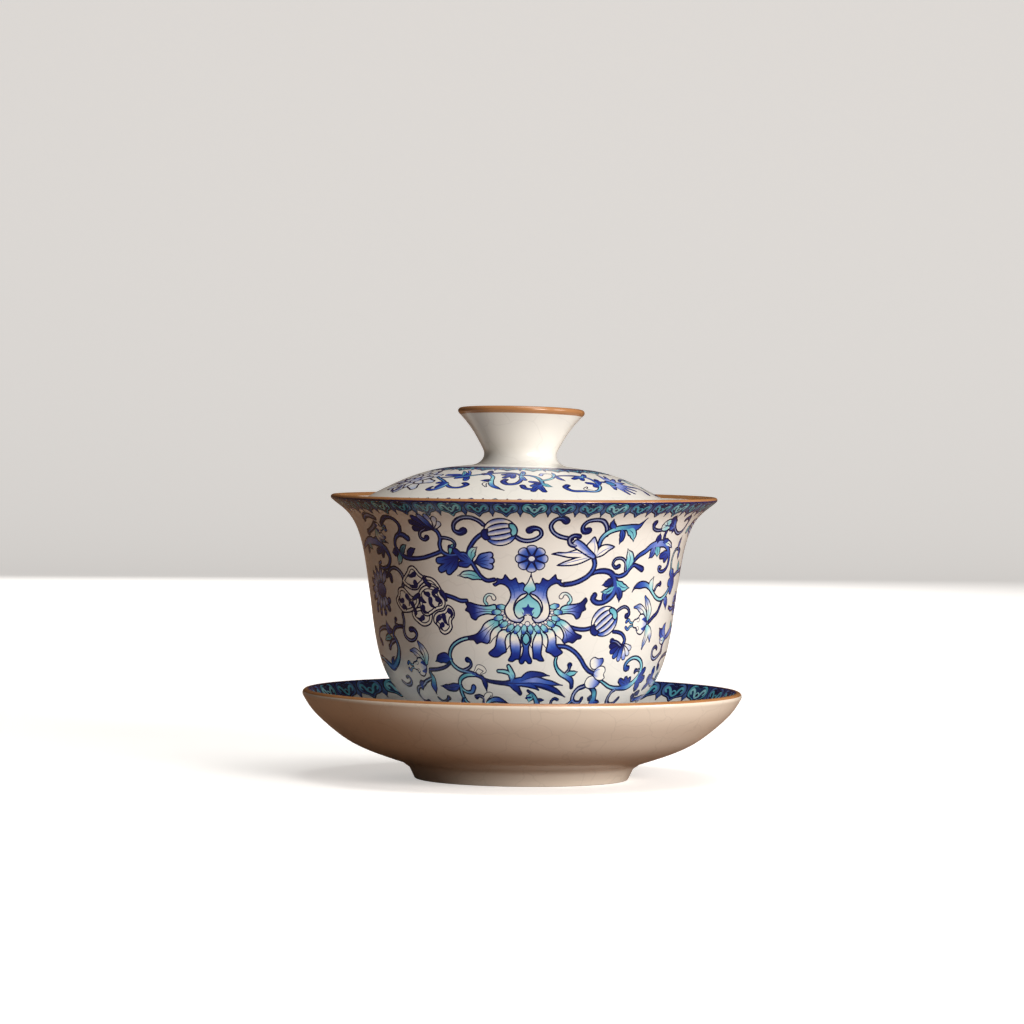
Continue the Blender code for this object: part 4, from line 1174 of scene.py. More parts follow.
def edge_fill(s):
    """What the front view never shows: the strips at the two sides, where one half meets the other."""
    rosette(s, 56.6, 46.2, 3.6, 0.9, 8, 0.3)
    for points, colours in (([(49.9, 45.4), (52.2, 44.9), (54.2, 45.2)], (COBALT, LILAC)), ([(59.6, 47.6),
                                                                                             (61.6, 49.6),
                                                                                             (63.6, 50.6),
                                                                                             (66.0, 50.4),
                                                                                             (67.6, 49.2)],
                                                                                            NIGHTFALL),
                            ([(50.6, 53.6), (53.6, 54.6), (57.2, 55.0), (60.2, 56.4), (62.2, 58.6),
                              (65.8, 57.6)], (BLUE, LILAC, BLUE, COBALT)),):
        s.stroke(points, [1.1, 1.3, 1.1], colours)
    hook(s, [(60.0, 56.4), (58.6, 58.6), (58.8, 60.8), (60.6, 61.8), (62.0, 60.8)], NIGHTFALL)
    bud(s, 57.4, 66.4, 3.6, 3.0, -10)
    hook(s, [(61.2, 66.0), (63.2, 65.4), (65.4, 66.4), (66.4, 68.0), (68.0, 68.4)], NIGHTFALL)
    leaf(s, (53.6, 66.6), (51.6, 64.6), 1.6, 0.1, SEA)
    for base, tip, colours in (((63.0, 37.4), (66.6, 40.6), WAVE), ((62.6, 38.0), (59.6, 35.0), DEEP),
                               ((56.0, 39.4), (55.2, 42.0), SEA), ((58.8, 39.6), (61.6, 41.8), DEEP),
                               ((64.6, 50.8), (63.4, 53.6), SEA), ((62.4, 50.0), (60.2, 52.4), DEEP),
                               ((54.4, 55.0), (53.0, 57.6), SEA), ((57.6, 55.0), (59.6, 52.8), DEEP)):
        leaf(s, base, tip, 1.8, 0.15, colours)
    s.stroke([(41.6, 23.0), (45.4, 21.6), (49.6, 21.8), (54.2, 21.6), (58.6, 22.6), (63.0, 24.4),
              (67.4, 24.6), (71.2, 23.8)], [1.0, 1.4, 2.0, 1.6, 1.3, 1.0],
             (NAVY, BLUE, LILAC, BLUE, COBALT, NAVY))
    s.stroke([(46.6, 27.4), (49.6, 26.4), (53.6, 25.6), (57.6, 25.8), (61.2, 27.4), (62.8, 30.4),
              (61.2, 33.2)], [1.2, 2.0, 1.5, 1.3, 1.4], (BLUE, LILAC, AQUA, TURQUOISE, BLUE))
    fan(s, (49.4, 27.0), [(47.6, 29.4), (46.2, 27.4), (46.8, 24.9)], 2.0, NIGHTFALL)
    hook(s, [(60.6, 33.4), (57.6, 33.2), (54.4, 33.0), (51.4, 32.2), (50.2, 30.6), (51.6, 29.7)], BROOK,
         1.1, 1.6)
    leaf(s, (53.2, 26.0), (55.4, 28.2), 1.8, 0.1, DEEP)
    leaf(s, (42.6, 23.4), (46.4, 22.7), 1.3, 0.1, DEEP)
    leaf(s, (57.4, 25.6), (55.0, 23.4), 1.6, 0.1, SEA)
    leaf(s, (68.4, 26.8), (71.6, 26.2), 1.6, 0.1, SEA)


def foot_scrolls(s):
    """A low run of waves where the belly turns under, mostly hidden behind the saucer's rim."""
    for number in range(14):
        x = -58.5 + 9.0 * number
        hook(s, [(x - 3.6, 16.6), (x - 1.8, 17.8), (x + 0.4, 18.6), (x + 2.2, 18.0), (x + 2.4, 16.8),
                 (x + 1.2, 16.5)], (BLUE, TURQUOISE), 0.9, 1.2)
        leaf(s, (x - 1.6, 17.6), (x - 3.6, 19.3), 1.2, 0.1, DEEP, vein=False)


def small_orchid(s):
    """The three round white petals at the lower right, each with a blue cheek."""
    cheeked = (WHITE, WHITE, LILAC, COBALT)
    s.blob([(20.4, 30.2), (19.2, 31.2), (19.1, 32.8), (20.3, 33.6), (21.6, 33.2), (23.0, 33.3),
            (23.5, 32.4), (22.8, 31.2), (21.6, 30.4)], cheeked, axis=((19.2, 31.6), (23.4, 32.4)),
           line=0.3)
    s.blob([(20.6, 28.8), (19.0, 28.2), (18.5, 26.8), (19.3, 25.6), (21.0, 25.2), (22.8, 25.6),
            (23.8, 26.7), (22.8, 27.6)], cheeked, axis=((18.6, 27.2), (23.7, 26.4)), line=0.3)
    s.next()
    s.blob([(20.6, 29.4), (21.4, 30.7), (22.8, 31.3), (24.2, 30.9), (24.7, 29.8), (24.4, 29.0),
            (25.0, 28.0), (23.8, 27.3), (22.2, 27.5), (21.0, 28.4)], MIST, axis=((24.6, 29.4),
                                                                                 (20.6, 29.4)), line=0.3)
    s.vein([(20.9, 29.4), (21.6, 30.1), (22.7, 30.3)], 0.24, (BLUE, LILAC))
    s.vein([(20.9, 29.2), (21.6, 28.6), (22.4, 28.6)], 0.24, (BLUE, LILAC))
    s.next()


def cup_scrolls(s):
    """The stems, leaves and hooks that fill the wall between its flowers."""
    foot_scrolls(s)
    edge_fill(s)
    left_scrolls(s)
    lower_right(s)
    upper_scrolls(s)
    right_scrolls(s)
    s.next()
    second_pod(s)
    orchid(s, 35.6, 41.6, 0)
    orchid(s, -31.2, 30.2, 0, 0.92, lower=False)
    small_orchid(s)
    peony(s)
    side_flower(s)
    lily(s)


def cup_painting():
    s = Sheet(WALL_HALF, WALL_LOW, WALL_HIGH, 1.2)
    cup_scrolls(s)
    rim_border(s)
    lotus(s)
    rosette(s, 1.9, 58.5)
    bud(s, -5.6, 65.2, 4.1, 3.6, 12)
    return s


# ---------------------------------------------------------------- the painting on the saucer and the lid

DISH_SECTORS = 11
DISH_DRAWN_AT = 42.0  # radius at which the dish's drawing keeps its width
LID_SECTORS = 2
LID_DRAWN_AT = 26.0
LID_LINE = 0.23
LID_BRUSH = 0.76


def head_row(s, count, base, wide, tall, flip):
    """A closed ring of cloud-collar heads along a circle; flip turns their tips towards the axis or
    away.
    """
    pitch = s.width / count
    plain = s.place
    s.band(*sorted((base + flip * 1.5, base - flip * 1.2 * tall)), NAVY)
    for number in range(count):
        x = -s.width / 2 + (number + 0.5) * pitch
        s.stroke([(x + pitch / 2, base), (x + pitch / 2, base - flip * 1.9 * tall),
                  (x + pitch / 2, base - flip * 3.6 * tall)], [1.6 * wide, 1.6 * wide, 0.3],
                 (NAVY, SLATE, NAVY), line=0.2)
    s.next()
    for number in range(count):
        x = -s.width / 2 + (number + 0.5) * pitch
        s.place = lambda points, at=np.array([x, base]): (np.asarray(points) - at) * [wide, tall] + at
        ruyi_head(s, x, base, number % 3 == 0, flip)
    s.place = plain
    s.next()


def saucer_painting(low, high):
    """One of the like parts of the dish: three heads at the rim, a curl of the running scroll, lines
    at the well.
    """
    s = Sheet(2 * math.pi * DISH_DRAWN_AT / DISH_SECTORS, low, high, 1.4)
    s.band(28.4, 28.8, COBALT)
    s.band(29.3, 29.5, COBALT)
    stem(s, [(-12.0, 38.6), (-8.4, 36.4), (-4.0, 36.2), (-0.6, 38.6), (3.6, 41.4), (8.0, 41.2),
             (12.0, 38.6)], (BLUE, TURQUOISE, BLUE, COBALT), (1.2, 1.4, 1.2))
    hook(s, [(-4.6, 36.2), (-1.4, 34.2), (1.8, 34.0), (3.8, 35.6), (3.0, 37.3), (1.4, 37.1)], NIGHTFALL)
    hook(s, [(1.2, 40.2), (-1.2, 42.4), (-4.2, 43.2), (-6.4, 42.0), (-5.8, 40.2), (-4.4, 40.3)], SEA)
    fan(s, (-7.4, 36.2), [(-10.4, 33.8), (-7.8, 32.0), (-5.2, 32.6)], 2.2, ROYAL)
    leaf(s, (4.6, 41.4), (6.4, 45.0), 2.2, 0.2, SEA)
    leaf(s, (5.4, 41.2), (7.2, 37.4), 2.2, 0.2, DEEP)
    leaf(s, (-9.2, 37.0), (-9.0, 41.4), 2.0, 0.2, SEA)
    hook(s, [(9.2, 40.8), (8.0, 36.2), (9.4, 33.0), (11.8, 32.4), (12.6, 34.0)], (BLUE, AQUA))
    leaf(s, (1.0, 34.2), (2.6, 31.6), 1.7, 0.1, DEEP)
    fan(s, (9.8, 40.4), [(9.6, 44.4), (12.2, 43.4)], 1.9, NIGHTFALL)
    s.next()
    rosette(s, -1.0, 46.2, 2.3, 1.0, 6)
    head_row(s, 3, high - 0.35, 1.36, 1.0, 1)
    return s


def lid_painting(low, high):
    """Two like halves: a ring round the knob's foot, a running scroll, and a border at the lid's edge."""
    s = Sheet(2 * math.pi * LID_DRAWN_AT / LID_SECTORS, low, high, 1.2)
    s.line, s.brush = LID_LINE, LID_BRUSH
    # The stem that runs right round, with its curls and leaves.
    stem(s, [(-20.6, 29.6), (-18.6, 31.0), (-16.6, 32.4), (-15.0, 34.2), (-13.2, 35.8), (-11.4, 35.8),
             (-10.4, 34.4), (-11.2, 33.6)], (TURQUOISE, BLUE, COBALT), (1.0, 1.2, 1.2, 1.7))
    s.stroke([(-14.8, 33.9), (-15.4, 35.6), (-16.6, 37.1), (-17.9, 36.7), (-17.6, 35.6)],
             [1.0, 1.8, 1.6, 1.2], (AQUA, BLUE, NAVY))
    fan(s, (-15.2, 33.4), [(-17.4, 33.4), (-16.4, 35.6)], 1.7, NIGHTFALL)
    fan(s, (-11.8, 29.8), [(-18.2, 28.6), (-14.4, 30.6), (-11.6, 31.8), (-14.0, 27.4)], 1.9, ROYAL)
    stem(s, [(-19.4, 30.6), (-16.4, 30.0), (-13.0, 29.6), (-10.2, 28.6), (-7.0, 27.4), (-3.4, 26.8),
             (-1.2, 27.0), (0.2, 28.8), (0.2, 31.4), (-0.8, 33.4), (-2.4, 33.8), (-3.4, 32.4),
             (-3.0, 31.4)], (BLUE, TURQUOISE, COBALT, BLUE, COBALT), (1.0, 1.2, 1.2, 1.8))
    leaf(s, (-13.6, 29.0), (-15.6, 25.4), 1.3, 0.1, SEA)
    s.stroke([(-12.0, 28.6), (-13.0, 26.6), (-14.0, 25.4)], [1.0, 1.2, 1.0], (BLUE, LILAC))
    fan(s, (-7.6, 28.2), [(-7.6, 25.6), (-8.9, 27.9)], 1.9, STORM)
    s.stroke([(-7.2, 28.0), (-6.0, 29.8), (-5.9, 32.2), (-5.4, 34.4), (-4.2, 35.8), (-2.8, 37.0)],
             [1.2, 1.3, 1.6, 1.5, 0.4], (BLUE, AQUA, AQUA, BLUE, NAVY))
    leaf(s, (-5.9, 31.8), (-8.2, 32.1), 1.7, 0.0, DEEP, vein=False)
    s.stroke([(-5.9, 32.6), (-7.0, 33.6), (-6.4, 35.3)], [0.8, 1.4, 0.7], SNOW, line=0.24)
    fan(s, (-1.2, 27.8), [(-3.9, 28.2), (-3.4, 30.1), (-1.6, 30.0)], 1.8, NIGHTFALL)
    fan(s, (0.2, 28.6), [(0.8, 25.6), (1.0, 31.2)], 1.7, BROOK)
    stem(s, [(0.2, 28.4), (2.2, 28.4), (3.8, 29.6), (4.5, 31.8), (4.0, 34.4), (2.6, 36.0), (1.0, 35.8),
             (0.5, 34.4)], (BLUE, TURQUOISE, BLUE, COBALT), (1.1, 1.6, 1.2, 1.7))
    fan(s, (4.3, 33.2), [(2.2, 32.2), (2.4, 34.4)], 1.6, DAYBREAK)
    leaf(s, (4.6, 32.8), (6.3, 34.6), 1.7, 0.15, SEA)
    fan(s, (4.0, 33.8), [(2.4, 36.9), (4.4, 37.0)], 1.6, NIGHTFALL)
    s.stroke([(4.6, 31.4), (6.2, 30.6), (7.6, 29.2), (7.9, 27.4), (6.8, 26.6), (5.4, 26.9), (4.9, 28.0)],
             [1.1, 1.2, 1.0, 1.5], (TURQUOISE, AQUA, WHITE, LILAC))
    leaf(s, (7.8, 28.6), (8.3, 25.4), 1.2, 0.1, BROOK, vein=False)
    stem(s, [(7.4, 29.4), (9.2, 28.0), (11.4, 27.6), (14.2, 27.6), (16.8, 28.6), (17.4, 31.0),
             (16.8, 33.8), (14.8, 36.0), (12.0, 36.2), (9.8, 36.2), (8.8, 34.6), (9.6, 33.5)],
         (BLUE, COBALT, BLUE, AQUA, BLUE, COBALT), (1.1, 1.5, 1.2, 1.7))
    leaf(s, (8.6, 28.6), (9.9, 31.1), 1.5, 0.1, NIGHTFALL, vein=False)
    fan(s, (15.6, 28.0), [(12.4, 29.6), (14.4, 30.1), (17.4, 26.2)], 1.7, (AQUA, BLUE, COBALT))
    fan(s, (17.2, 32.6), [(14.8, 31.8), (15.8, 33.6), (18.6, 29.6)], 1.8, NIGHTFALL)
    s.stroke([(14.6, 35.9), (12.8, 35.2), (13.6, 34.0)], [0.8, 1.3, 0.7], SNOW, line=0.24)
    stem(s, [(17.2, 30.6), (19.0, 30.8), (20.8, 30.6)], NIGHTFALL)
    # The chrysanthemum at the right, then the run behind it, out of sight from the front.
    for x, y in ((22.6, 25.8), (24.6, 26.6), (26.2, 28.4), (27.4, 30.6), (27.8, 32.8), (26.6, 34.6),
                 (24.6, 36.0), (22.6, 36.4), (20.4, 34.4)):
        s.stroke([(21.8, 31.2), ((21.8 + x) / 2, (31.2 + y) / 2), (x, y)], [1.0, 1.9, 1.2],
                 (PALE, LILAC, COBALT))
    s.dot((21.6, 31.2), 1.5, (TURQUOISE, BLUE), ink=NAVY, level=1, top=False)
    stem(s, [(27.4, 32.8), (29.4, 33.0), (30.8, 34.4), (30.0, 36.0)], NIGHTFALL, (1.0, 1.6))
    stem(s, [(26.8, 29.6), (30.2, 28.2), (33.8, 28.8), (36.4, 31.2), (39.4, 33.4), (42.4, 32.4)],
         (BLUE, TURQUOISE, COBALT))
    hook(s, [(33.6, 28.6), (35.8, 26.6), (38.4, 26.8), (39.4, 28.6), (38.0, 29.6)], NIGHTFALL)
    hook(s, [(36.8, 31.6), (34.4, 32.6), (33.4, 34.8), (34.8, 36.4), (36.4, 35.6)], SEA)
    leaf(s, (31.0, 28.4), (31.6, 31.8), 1.8, 0.2, SEA)
    leaf(s, (38.6, 33.0), (38.4, 36.8), 1.8, 0.2, DEEP)
    fan(s, (40.4, 33.0), [(43.6, 35.8), (41.6, 36.4)], 1.8, NIGHTFALL)
    s.next()
    # The pale flower at the left: two rings of petals, then the sprigs round it.
    middle = np.array([-26.0, 31.6])
    for count, reach, wide, turn in ((9, 6.4, 4.4, 0.2), (7, 4.2, 3.4, 0.5)):
        for number in range(count):
            angle = turn + 2 * math.pi * number / count
            out = np.array([math.cos(angle), 0.9 * math.sin(angle)])
            s.stroke([middle + out, middle + 0.6 * reach * out, middle + reach * out],
                     [1.6, wide, wide * 0.6], (LILAC, WHITE, PALE), line=0.42)
            s.next()
    s.dot(middle, 1.5, (WHITE, LILAC), ink=NAVY, line=0.3)
    s.next()
    for points in ([(-28.6, 30.4), (-30.8, 31.4), (-32.6, 30.6)], [(-27.4, 34.4), (-26.4, 36.6),
                                                                   (-27.4, 37.4), (-29.0, 36.0)],
                   [(-28.8, 32.4), (-31.4, 33.0), (-33.2, 34.4)], [(-22.4, 28.4), (-23.2, 26.4),
                                                                   (-24.6, 25.8)]):
        s.stroke(points, [0.9, 1.2, 0.7], HEATHER)
    s.next()
    head_row(s, 12, 21.4, 1.14, 1.04, -1)
    head_row(s, 21, 43.4, 0.64, 0.66, 1)
    return s


# ---------------------------------------------------------------- finishes

GLAZE_IOR = 1.42
COAT_ROUGHNESS = 0.05
# Texture scales count waves or cells in a metre.
CLOUD_SCALE = 70.0
GRAIN_SCALE = 900.0
GRAIN_DEPTH = 0.0002
CRACK_SCALE = 105.0
CRACK_WIDTH = 0.022
BEND_SCALE = 120.0
BEND_REACH = 0.008


def set_inputs(tree, node, inputs):
    """Gives each input a value, or another node's output to read."""
    for name, value in inputs.items():
        if isinstance(value, bpy.types.NodeSocket):
            tree.links.new(value, node.inputs[name])
        else:
            node.inputs[name].default_value = value


def add_node(tree, kind, inputs, **settings):
    node = tree.nodes.new("ShaderNode" + kind)
    for name, value in settings.items():
        setattr(node, name, value)
    set_inputs(tree, node, inputs)
    return node


def crackled(tree, place, tone, darkness):
    """The tone, darkened along a fine net of cracks."""
    noise = add_node(tree, "TexNoise", {"Scale": BEND_SCALE, "Vector": place})
    reach = (BEND_REACH, BEND_REACH, BEND_REACH)
    bent = add_node(tree, "VectorMath", {0: noise.outputs["Color"], 1: reach, 2: place},
                    operation="MULTIPLY_ADD")
    net = add_node(tree, "TexVoronoi", {"Scale": CRACK_SCALE, "Vector": bent.outputs["Vector"]},
                   feature="DISTANCE_TO_EDGE")
    crack = add_node(tree, "MapRange", {"From Max": CRACK_WIDTH, "To Min": 1.0 - darkness,
                                        "Value": net.outputs["Distance"]})
    return add_node(tree, "Math", {0: tone, 1: crack.outputs["Result"]},
                    operation="MULTIPLY").outputs["Value"]


def finish(name, colour=None, roughness=0.24, mottle=0.05, bump=0.05, coat=0.3, crackle=0.0):
    """A glaze or bare clay. Without a colour of its own it shows the mesh's painted colours."""
    material = bpy.data.materials.new(name)
    material.use_nodes = True
    tree = material.node_tree
    place = add_node(tree, "TexCoord", {}).outputs["Object"]
    cloud = add_node(tree, "TexNoise",
                     {"Scale": CLOUD_SCALE, "Detail": 4.0, "Vector": place}).outputs["Fac"]
    tone = add_node(tree, "MapRange", {"To Min": 1.0 - mottle, "To Max": 1.0 + mottle * 0.5,
                                       "Value": cloud})
    tone = tone.outputs["Result"]
    if crackle:
        tone = crackled(tree, place, tone, crackle)
    if colour is None:
        paint = add_node(tree, "Attribute", {}, attribute_name="paint").outputs["Color"]
    else:
        paint = linear(colour)
    shown = add_node(tree, "VectorMath", {0: paint, "Scale": tone}, operation="SCALE")
    gloss = add_node(tree, "MapRange", {"To Min": roughness * 0.8, "To Max": roughness * 1.25,
                                        "Value": cloud})
    grain = add_node(tree, "TexNoise", {"Scale": GRAIN_SCALE, "Detail": 2.0, "Vector": place})
    relief = add_node(tree, "Bump", {"Strength": bump, "Distance": GRAIN_DEPTH,
                                     "Height": grain.outputs["Fac"]})
    set_inputs(tree, tree.nodes["Principled BSDF"], {
        "Base Color": shown.outputs["Vector"],
        "Roughness": gloss.outputs["Result"],
        "Normal": relief.outputs["Normal"],
        "IOR": GLAZE_IOR,
        "Coat Weight": coat,
        "Coat Roughness": COAT_ROUGHNESS,
    })
    return material


# ---------------------------------------------------------------- the pieces


def put(piece, body, material, slot, *replaced, lean=False):
    """Gives a piece its finish and its body. A lid piece is first laid askew as the lid's solid is."""
    piece.data.materials.append(material)
    if lean:
        piece.matrix_world = LID_LEAN
        bpy.context.view_layer.update()
    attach(piece, body)
    if replaced:
        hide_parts(*replaced)


def first_below(profile, crest, height):
    """The index of the first point after the crest that lies under this height."""
    return int(np.argmax((np.arange(len(profile)) > crest) & (profile[:, 1] < height)))


def build_cup(glaze, enamel, rim, bare):
    outer = spline(
        [
            (CUP_RADIUS - 0.15, CUP_HEIGHT - 1.15),
            (45.8, 68.9),
            (42.4, 62.4),
            (41.0, 56.0),
            (39.0, 42.0),
            (37.2, 32.4),
            (34.4, 25.5),
            (29.4, 19.6),
            (CUP_FOOT_RADIUS + 1.4, CUP_FOOT_TOP + 2.0),
        ],
        150,
        start=(-1.0, -0.9),
    )
    inner = inside(outer, CUP_LIP, CUP_WALL)
    floor = spline([inner[-1], (14.0, CUP_FLOOR + 0.5), (0.0, CUP_FLOOR)], 16,
                   start=inner[-1] - inner[-2], end=(-1, 0))
    lip = rounded(inner[0], outer[0], 14)
    flank = np.concatenate([lip, outer[1:]])
    brown_end = first_below(flank, np.argmax(flank[:, 1]), WALL_HIGH)
    brown = np.concatenate([inner[3:0:-1], flank[:brown_end + 1]])
    wall = flank[brown_end - 1:]
    throat = fillet(outer[-1], (CUP_FOOT_RADIUS, CUP_FOOT_TOP), (CUP_FOOT_RADIUS, CUP_BASE), 1.2, 8)
    foot, land, below = foot_ring(
        (CUP_FOOT_RADIUS, CUP_FOOT_TOP), CUP_FOOT_RADIUS, CUP_FOOT_LAND, CUP_BASE, CUP_UNDERSIDE
    )
    sheet = cup_painting()
    cut = sheet.triangles()
    at = reader(wall, 1)
    put(painted("cup_wall_front", sheet, cut, at, 2, 1), "cup", enamel, "cup_glaze", "cup")
    put(painted("cup_wall_back", sheet, cut, at, 2, 1, math.pi), "cup", enamel, "cup_glaze")
    put(lathe("cup_inside", np.concatenate([floor[::-1], inner[-2:2:-1]])), "cup", glaze, "cup_glaze")
    put(lathe("cup_lip", brown), "cup", rim, "rim_glaze")
    put(lathe("cup_foot", np.concatenate([outer[-2:], throat, foot])), "cup", glaze, "cup_glaze")
    put(lathe("cup_foot_land", land), "cup", bare, "bare_foot")
    put(lathe("cup_underside", below), "cup", glaze, "cup_glaze")


def build_saucer(ivory, enamel, rim, bare):
    outer = spline(
        [
            (SAUCER_RADIUS - 0.1, SAUCER_HEIGHT - 1.6),
            (55.3, 18.8),
            (50.4, 13.8),
            (45.2, 9.9),
            (38.0, 6.6),
            (SAUCER_FOOT_RADIUS + 3.4, SAUCER_FOOT_HEIGHT + 0.4),
        ],
        90,
    )
    inner = inside(outer, SAUCER_LIP, SAUCER_WALL)
    inner = inner[inner[:, 1] > FLOOR_HEIGHT + 1.0]
    floor = spline([inner[-1], (WELL_RADIUS + 3.0, FLOOR_HEIGHT)], 14,
                   start=inner[-1] - inner[-2], end=(-1, 0))
    edge = (WELL_RADIUS + 0.6, FLOOR_HEIGHT)
    well = np.concatenate(
        [
            [(WELL_RADIUS + 3.0, FLOOR_HEIGHT)],
            fillet((WELL_RADIUS + 3.0, FLOOR_HEIGHT), edge, (WELL_RADIUS, WELL_FLOOR), 0.6),
            fillet(edge, (WELL_RADIUS, WELL_FLOOR), (0, WELL_FLOOR), 0.6),
            [(0, WELL_FLOOR)],
        ]
    )
    lip = rounded(inner[0], outer[0], 16)
    foot, land, below = foot_ring(
        (SAUCER_FOOT_RADIUS + 1.4, SAUCER_FOOT_HEIGHT - 1.0),
        SAUCER_FOOT_RADIUS, SAUCER_FOOT_LAND, 0.0, SAUCER_UNDERSIDE,
    )
    crest = int(np.argmax(lip[:, 1]))
    brown_end = first_below(lip, crest, SAUCER_HEIGHT - SAUCER_BROWN)
    dish = np.concatenate([lip[crest::-1], inner[1:], floor[1:]])
    sheet = saucer_painting(dish[-1, 0], dish[0, 0])
    cut = sheet.triangles()
    put(painted("saucer_dish", sheet, cut, reader(dish, 0), DISH_SECTORS, DISH_SECTORS), "saucer", enamel,
        "saucer_glaze", "saucer")
    put(lathe("saucer_well", well[::-1]), "saucer", ivory, "saucer_glaze")
    put(lathe("saucer_lip", lip[crest - 1:brown_end + 1]), "saucer", rim, "rim_glaze")
    under = np.concatenate([lip[brown_end:], outer,
                            [(SAUCER_FOOT_RADIUS + 1.4, SAUCER_FOOT_HEIGHT - 1.0)], foot])
    put(lathe("saucer_outside", under), "saucer", ivory, "saucer_glaze")
    put(lathe("saucer_foot_land", land), "saucer", bare, "bare_foot")
    put(lathe("saucer_underside", below), "saucer", ivory, "saucer_glaze")


def build_lid(glaze, enamel, rim):
    flare = spline(
        [
            (KNOB_RADIUS - 0.2, KNOB_HEIGHT - 1.1),
            (12.5, 90.2),
            (10.2, 86.3),
            (KNOB_NECK, 83.9),
            (10.6, 81.9),
            (13.4, 81.0),
        ],
        60,
        start=(-1.0, -1.0),
        end=(1.0, -0.12),
    )
    dome = spline(
        [
            flare[-1],
            (21.6, 79.8),
            (30.5, 76.8),
            (37.2, 73.4),
            (LID_RADIUS - 0.5, LID_EDGE_HEIGHT + 0.4),
        ],
        80,
        start=(1.0, -0.12),
    )
    cup_side = inside(flare[flare[:, 1] > KNOB_FLOOR + 2.4], KNOB_LIP, 2.0)
    hollow = spline([cup_side[-1], (4.5, KNOB_FLOOR + 0.2), (0, KNOB_FLOOR)], 14,
                    start=cup_side[-1] - cup_side[-2], end=(-1, 0))
    under = inside(dome, LID_WALL + 0.4, LID_WALL)[:0:-1]
    ceiling = spline([under[-1], (0, LID_UNDERSIDE)], 12, start=under[-1] - under[-2], end=(-1, 0))
    lip = rounded(cup_side[0], flare[0], 14)
    edge = rounded(dome[-1], under[0], 12)
    sheet = lid_painting(flare[-1][0], dome[-1, 0])
    cut = sheet.triangles()
    top = painted("lid_dome", sheet, cut, reader(dome, 0), LID_SECTORS, LID_SECTORS)
    put(top, "lid", enamel, "lid_glaze", "lid", lean=True)
    put(lathe("lid_knob", flare[2:]), "lid", glaze, "lid_glaze", lean=True)
    put(lathe("lid_knob_lip", np.concatenate([cup_side[2::-1], lip, flare[:3]])), "lid", rim, "rim_glaze",
        lean=True)
    put(lathe("lid_knob_hollow", np.concatenate([hollow[::-1], cup_side[-2:1:-1]])), "lid", glaze,
        "lid_glaze", lean=True)
    put(lathe("lid_edge", np.concatenate([dome[-1:], edge, under[:1]])), "lid", rim, "rim_glaze", lean=True)
    put(lathe("lid_underside", np.concatenate([under, ceiling[1:]])), "lid", glaze, "lid_glaze", lean=True)


# ---------------------------------------------------------------- floor, light and camera

# The floor and the curved sweep behind it, in metres.
FLOOR_WIDTH = 4.0
FLOOR_FRONT = -3.0
FLOOR_BACK = 1.4
SWEEP_RADIUS = 0.7
BACKDROP_HEIGHT = 2.4

# Each pair holds a linear colour for the light that bounces, then one for the camera.
FLOOR_COLOURS = ((0.22, 0.12, 0.07, 1.0), (0.88, 0.87, 0.86, 1.0))
SKY_COLOURS = ((0.090, 0.085, 0.080, 1.0), (0.90, 0.89, 0.87, 1.0))
FLOOR_GLOW = 0.45
FLOOR_GLOW_COLOUR = (1.0, 0.98, 0.95, 1.0)

DAYLIGHT = (1.0, 0.97, 0.94)
SKYLIGHT = (1.0, 0.98, 0.95)
LAMP_TARGET = (0.0, 0.0, 0.05)
# Name, place, side of the square in metres, watts, colour, and whether the glaze shows its gleam.
LAMPS = (
    ("key", (0.70, -0.98, 0.40), 0.5, 14.0, DAYLIGHT, True),
    ("side", (1.16, -0.33, 0.36), 0.5, 7.0, DAYLIGHT, True),
    ("top", (0.20, -0.15, 1.1), 0.6, 6.0, SKYLIGHT, True),
    ("fill", (-0.15, 1.2, 0.45), 0.6, 5.0, SKYLIGHT, False),
)

CAMERA_PLACE = (-3.1, -1220.0, 98.5)
CAMERA_TARGET = (-3.1, 0.0, 69.2)
CAMERA_ROLL = 0.6  # degrees, so that the right side dips
SENSOR_WIDTH = 36.0
FOCAL_LENGTH = 165.234375
VIEW_END = 20.0


def by_ray(tree, colours):
    """A colour for bounced light and another for the camera: the result, and whether the camera looks."""
    camera_looks = add_node(tree, "LightPath", {}).outputs["Is Camera Ray"]
    bounced, seen = colours
    shade = add_node(tree, "Mix", {"A": bounced, "B": seen, "Factor": camera_looks}, data_type="RGBA")
    return shade.outputs["Result"], camera_looks


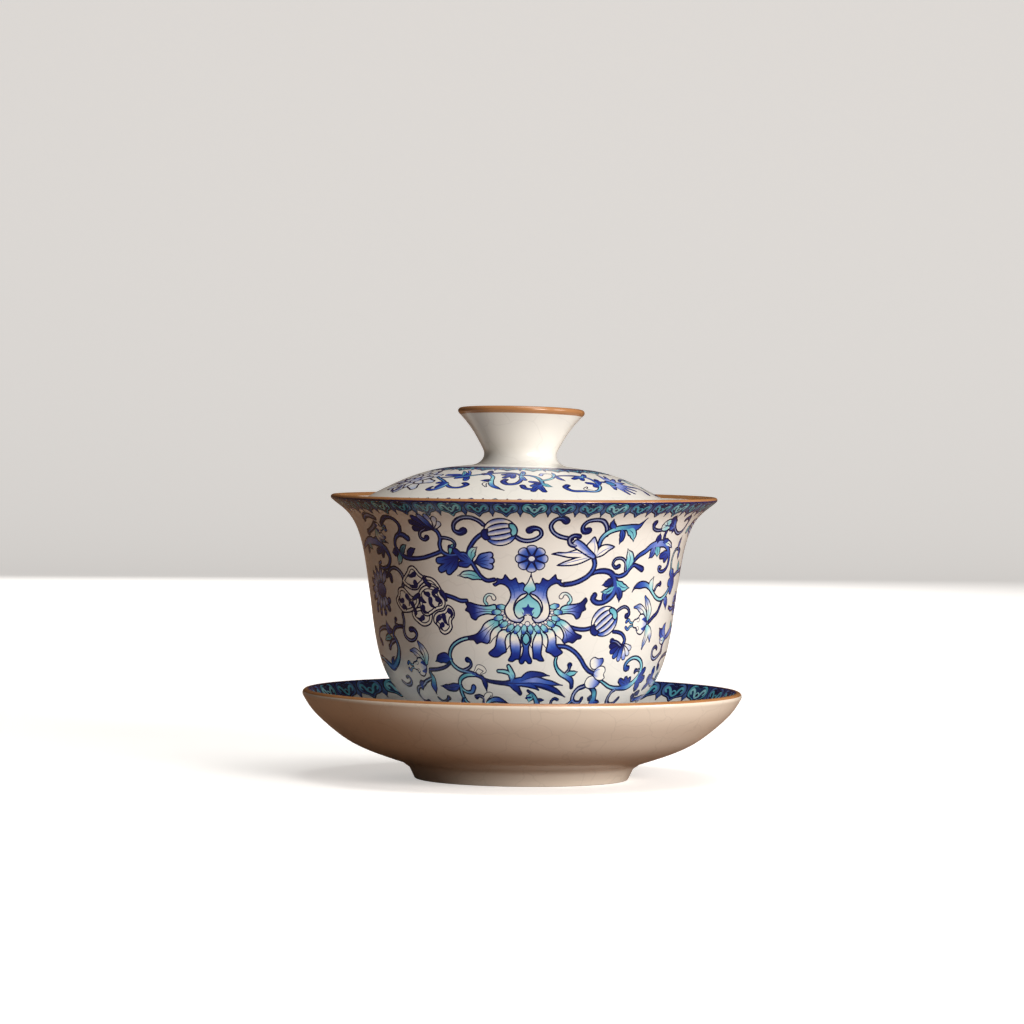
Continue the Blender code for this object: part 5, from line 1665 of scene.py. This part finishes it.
def set_floor():
    """The floor looks pale, but throws back little light, as a dark table top does under the real set."""
    mesh = bpy.data.meshes.new("floor")
    section = [(FLOOR_FRONT, 0.0)]
    for turn in np.linspace(0, math.pi / 2, 24):
        section.append((FLOOR_BACK + SWEEP_RADIUS * math.sin(turn), SWEEP_RADIUS * (1 - math.cos(turn))))
    section.append((FLOOR_BACK + SWEEP_RADIUS, BACKDROP_HEIGHT))
    verts = [(side * FLOOR_WIDTH / 2, y, z) for y, z in section for side in (-1, 1)]
    faces = [(2 * i, 2 * i + 1, 2 * i + 3, 2 * i + 2) for i in range(len(section) - 1)]
    mesh.from_pydata(verts, [], faces)
    floor = bpy.data.objects.new("floor", mesh)
    for polygon in mesh.polygons:
        polygon.use_smooth = True
    bpy.context.scene.collection.objects.link(floor)
    material = bpy.data.materials.new("floor")
    material.use_nodes = True
    tree = material.node_tree
    colour, camera_looks = by_ray(tree, FLOOR_COLOURS)
    glow = add_node(tree, "Math", {0: camera_looks, 1: FLOOR_GLOW}, operation="MULTIPLY")
    set_inputs(tree, tree.nodes["Principled BSDF"], {
        "Base Color": colour,
        "Roughness": 0.8,
        "Specular IOR Level": 0.1,
        "Emission Color": FLOOR_GLOW_COLOUR,
        "Emission Strength": glow.outputs["Value"],
    })
    mesh.materials.append(material)


def set_light():
    world = bpy.data.worlds.new("studio")
    bpy.context.scene.world = world
    world.use_nodes = True
    colour, _ = by_ray(world.node_tree, SKY_COLOURS)
    set_inputs(world.node_tree, world.node_tree.nodes["Background"], {"Color": colour})
    bpy.context.scene.view_settings.view_transform = "Standard"
    for name, place, side, power, colour, gleams in LAMPS:
        data = bpy.data.lights.new(name, "AREA")
        data.shape = "RECTANGLE"
        data.size = data.size_y = side
        data.energy = power
        data.color = colour
        light = bpy.data.objects.new(name, data)
        light.location = place
        light.rotation_euler = (Vector(LAMP_TARGET) - Vector(place)).to_track_quat("-Z", "Y").to_euler()
        light.visible_glossy = gleams
        bpy.context.scene.collection.objects.link(light)


def set_camera():
    """At the photograph's height and distance."""
    place = Vector(CAMERA_PLACE) * MM
    target = Vector(CAMERA_TARGET) * MM
    view = (target - place).normalized()
    right = view.cross(Vector((0, 0, 1))).normalized()
    up = right.cross(view)
    roll = math.radians(CAMERA_ROLL)
    across = right * math.cos(roll) + up * math.sin(roll)
    top = up * math.cos(roll) - right * math.sin(roll)
    camera = bpy.data.objects.new("camera", bpy.data.cameras.new("camera"))
    camera.matrix_world = Matrix.Translation(place) @ Matrix((across, top, -view)).transposed().to_4x4()
    camera.data.sensor_width = SENSOR_WIDTH
    camera.data.lens = FOCAL_LENGTH
    camera.data.clip_end = VIEW_END
    bpy.context.scene.collection.objects.link(camera)
    bpy.context.scene.camera = camera


def main():
    ivory = finish("ivory_glaze", IVORY, crackle=0.08)
    glaze = finish("white_glaze", GLAZE, crackle=0.07)
    enamel = finish("painted_glaze", crackle=0.07)
    rim = finish("brown_rim_glaze", BROWN, roughness=0.22, mottle=0.35)
    bare = finish("bare_clay", (0.66, 0.56, 0.45), roughness=0.7, mottle=0.2, bump=0.4, coat=0.0)
    build_saucer(ivory, enamel, rim, bare)
    build_cup(glaze, enamel, rim, bare)
    build_lid(glaze, enamel, rim)
    set_floor()
    set_light()
    set_camera()


main()
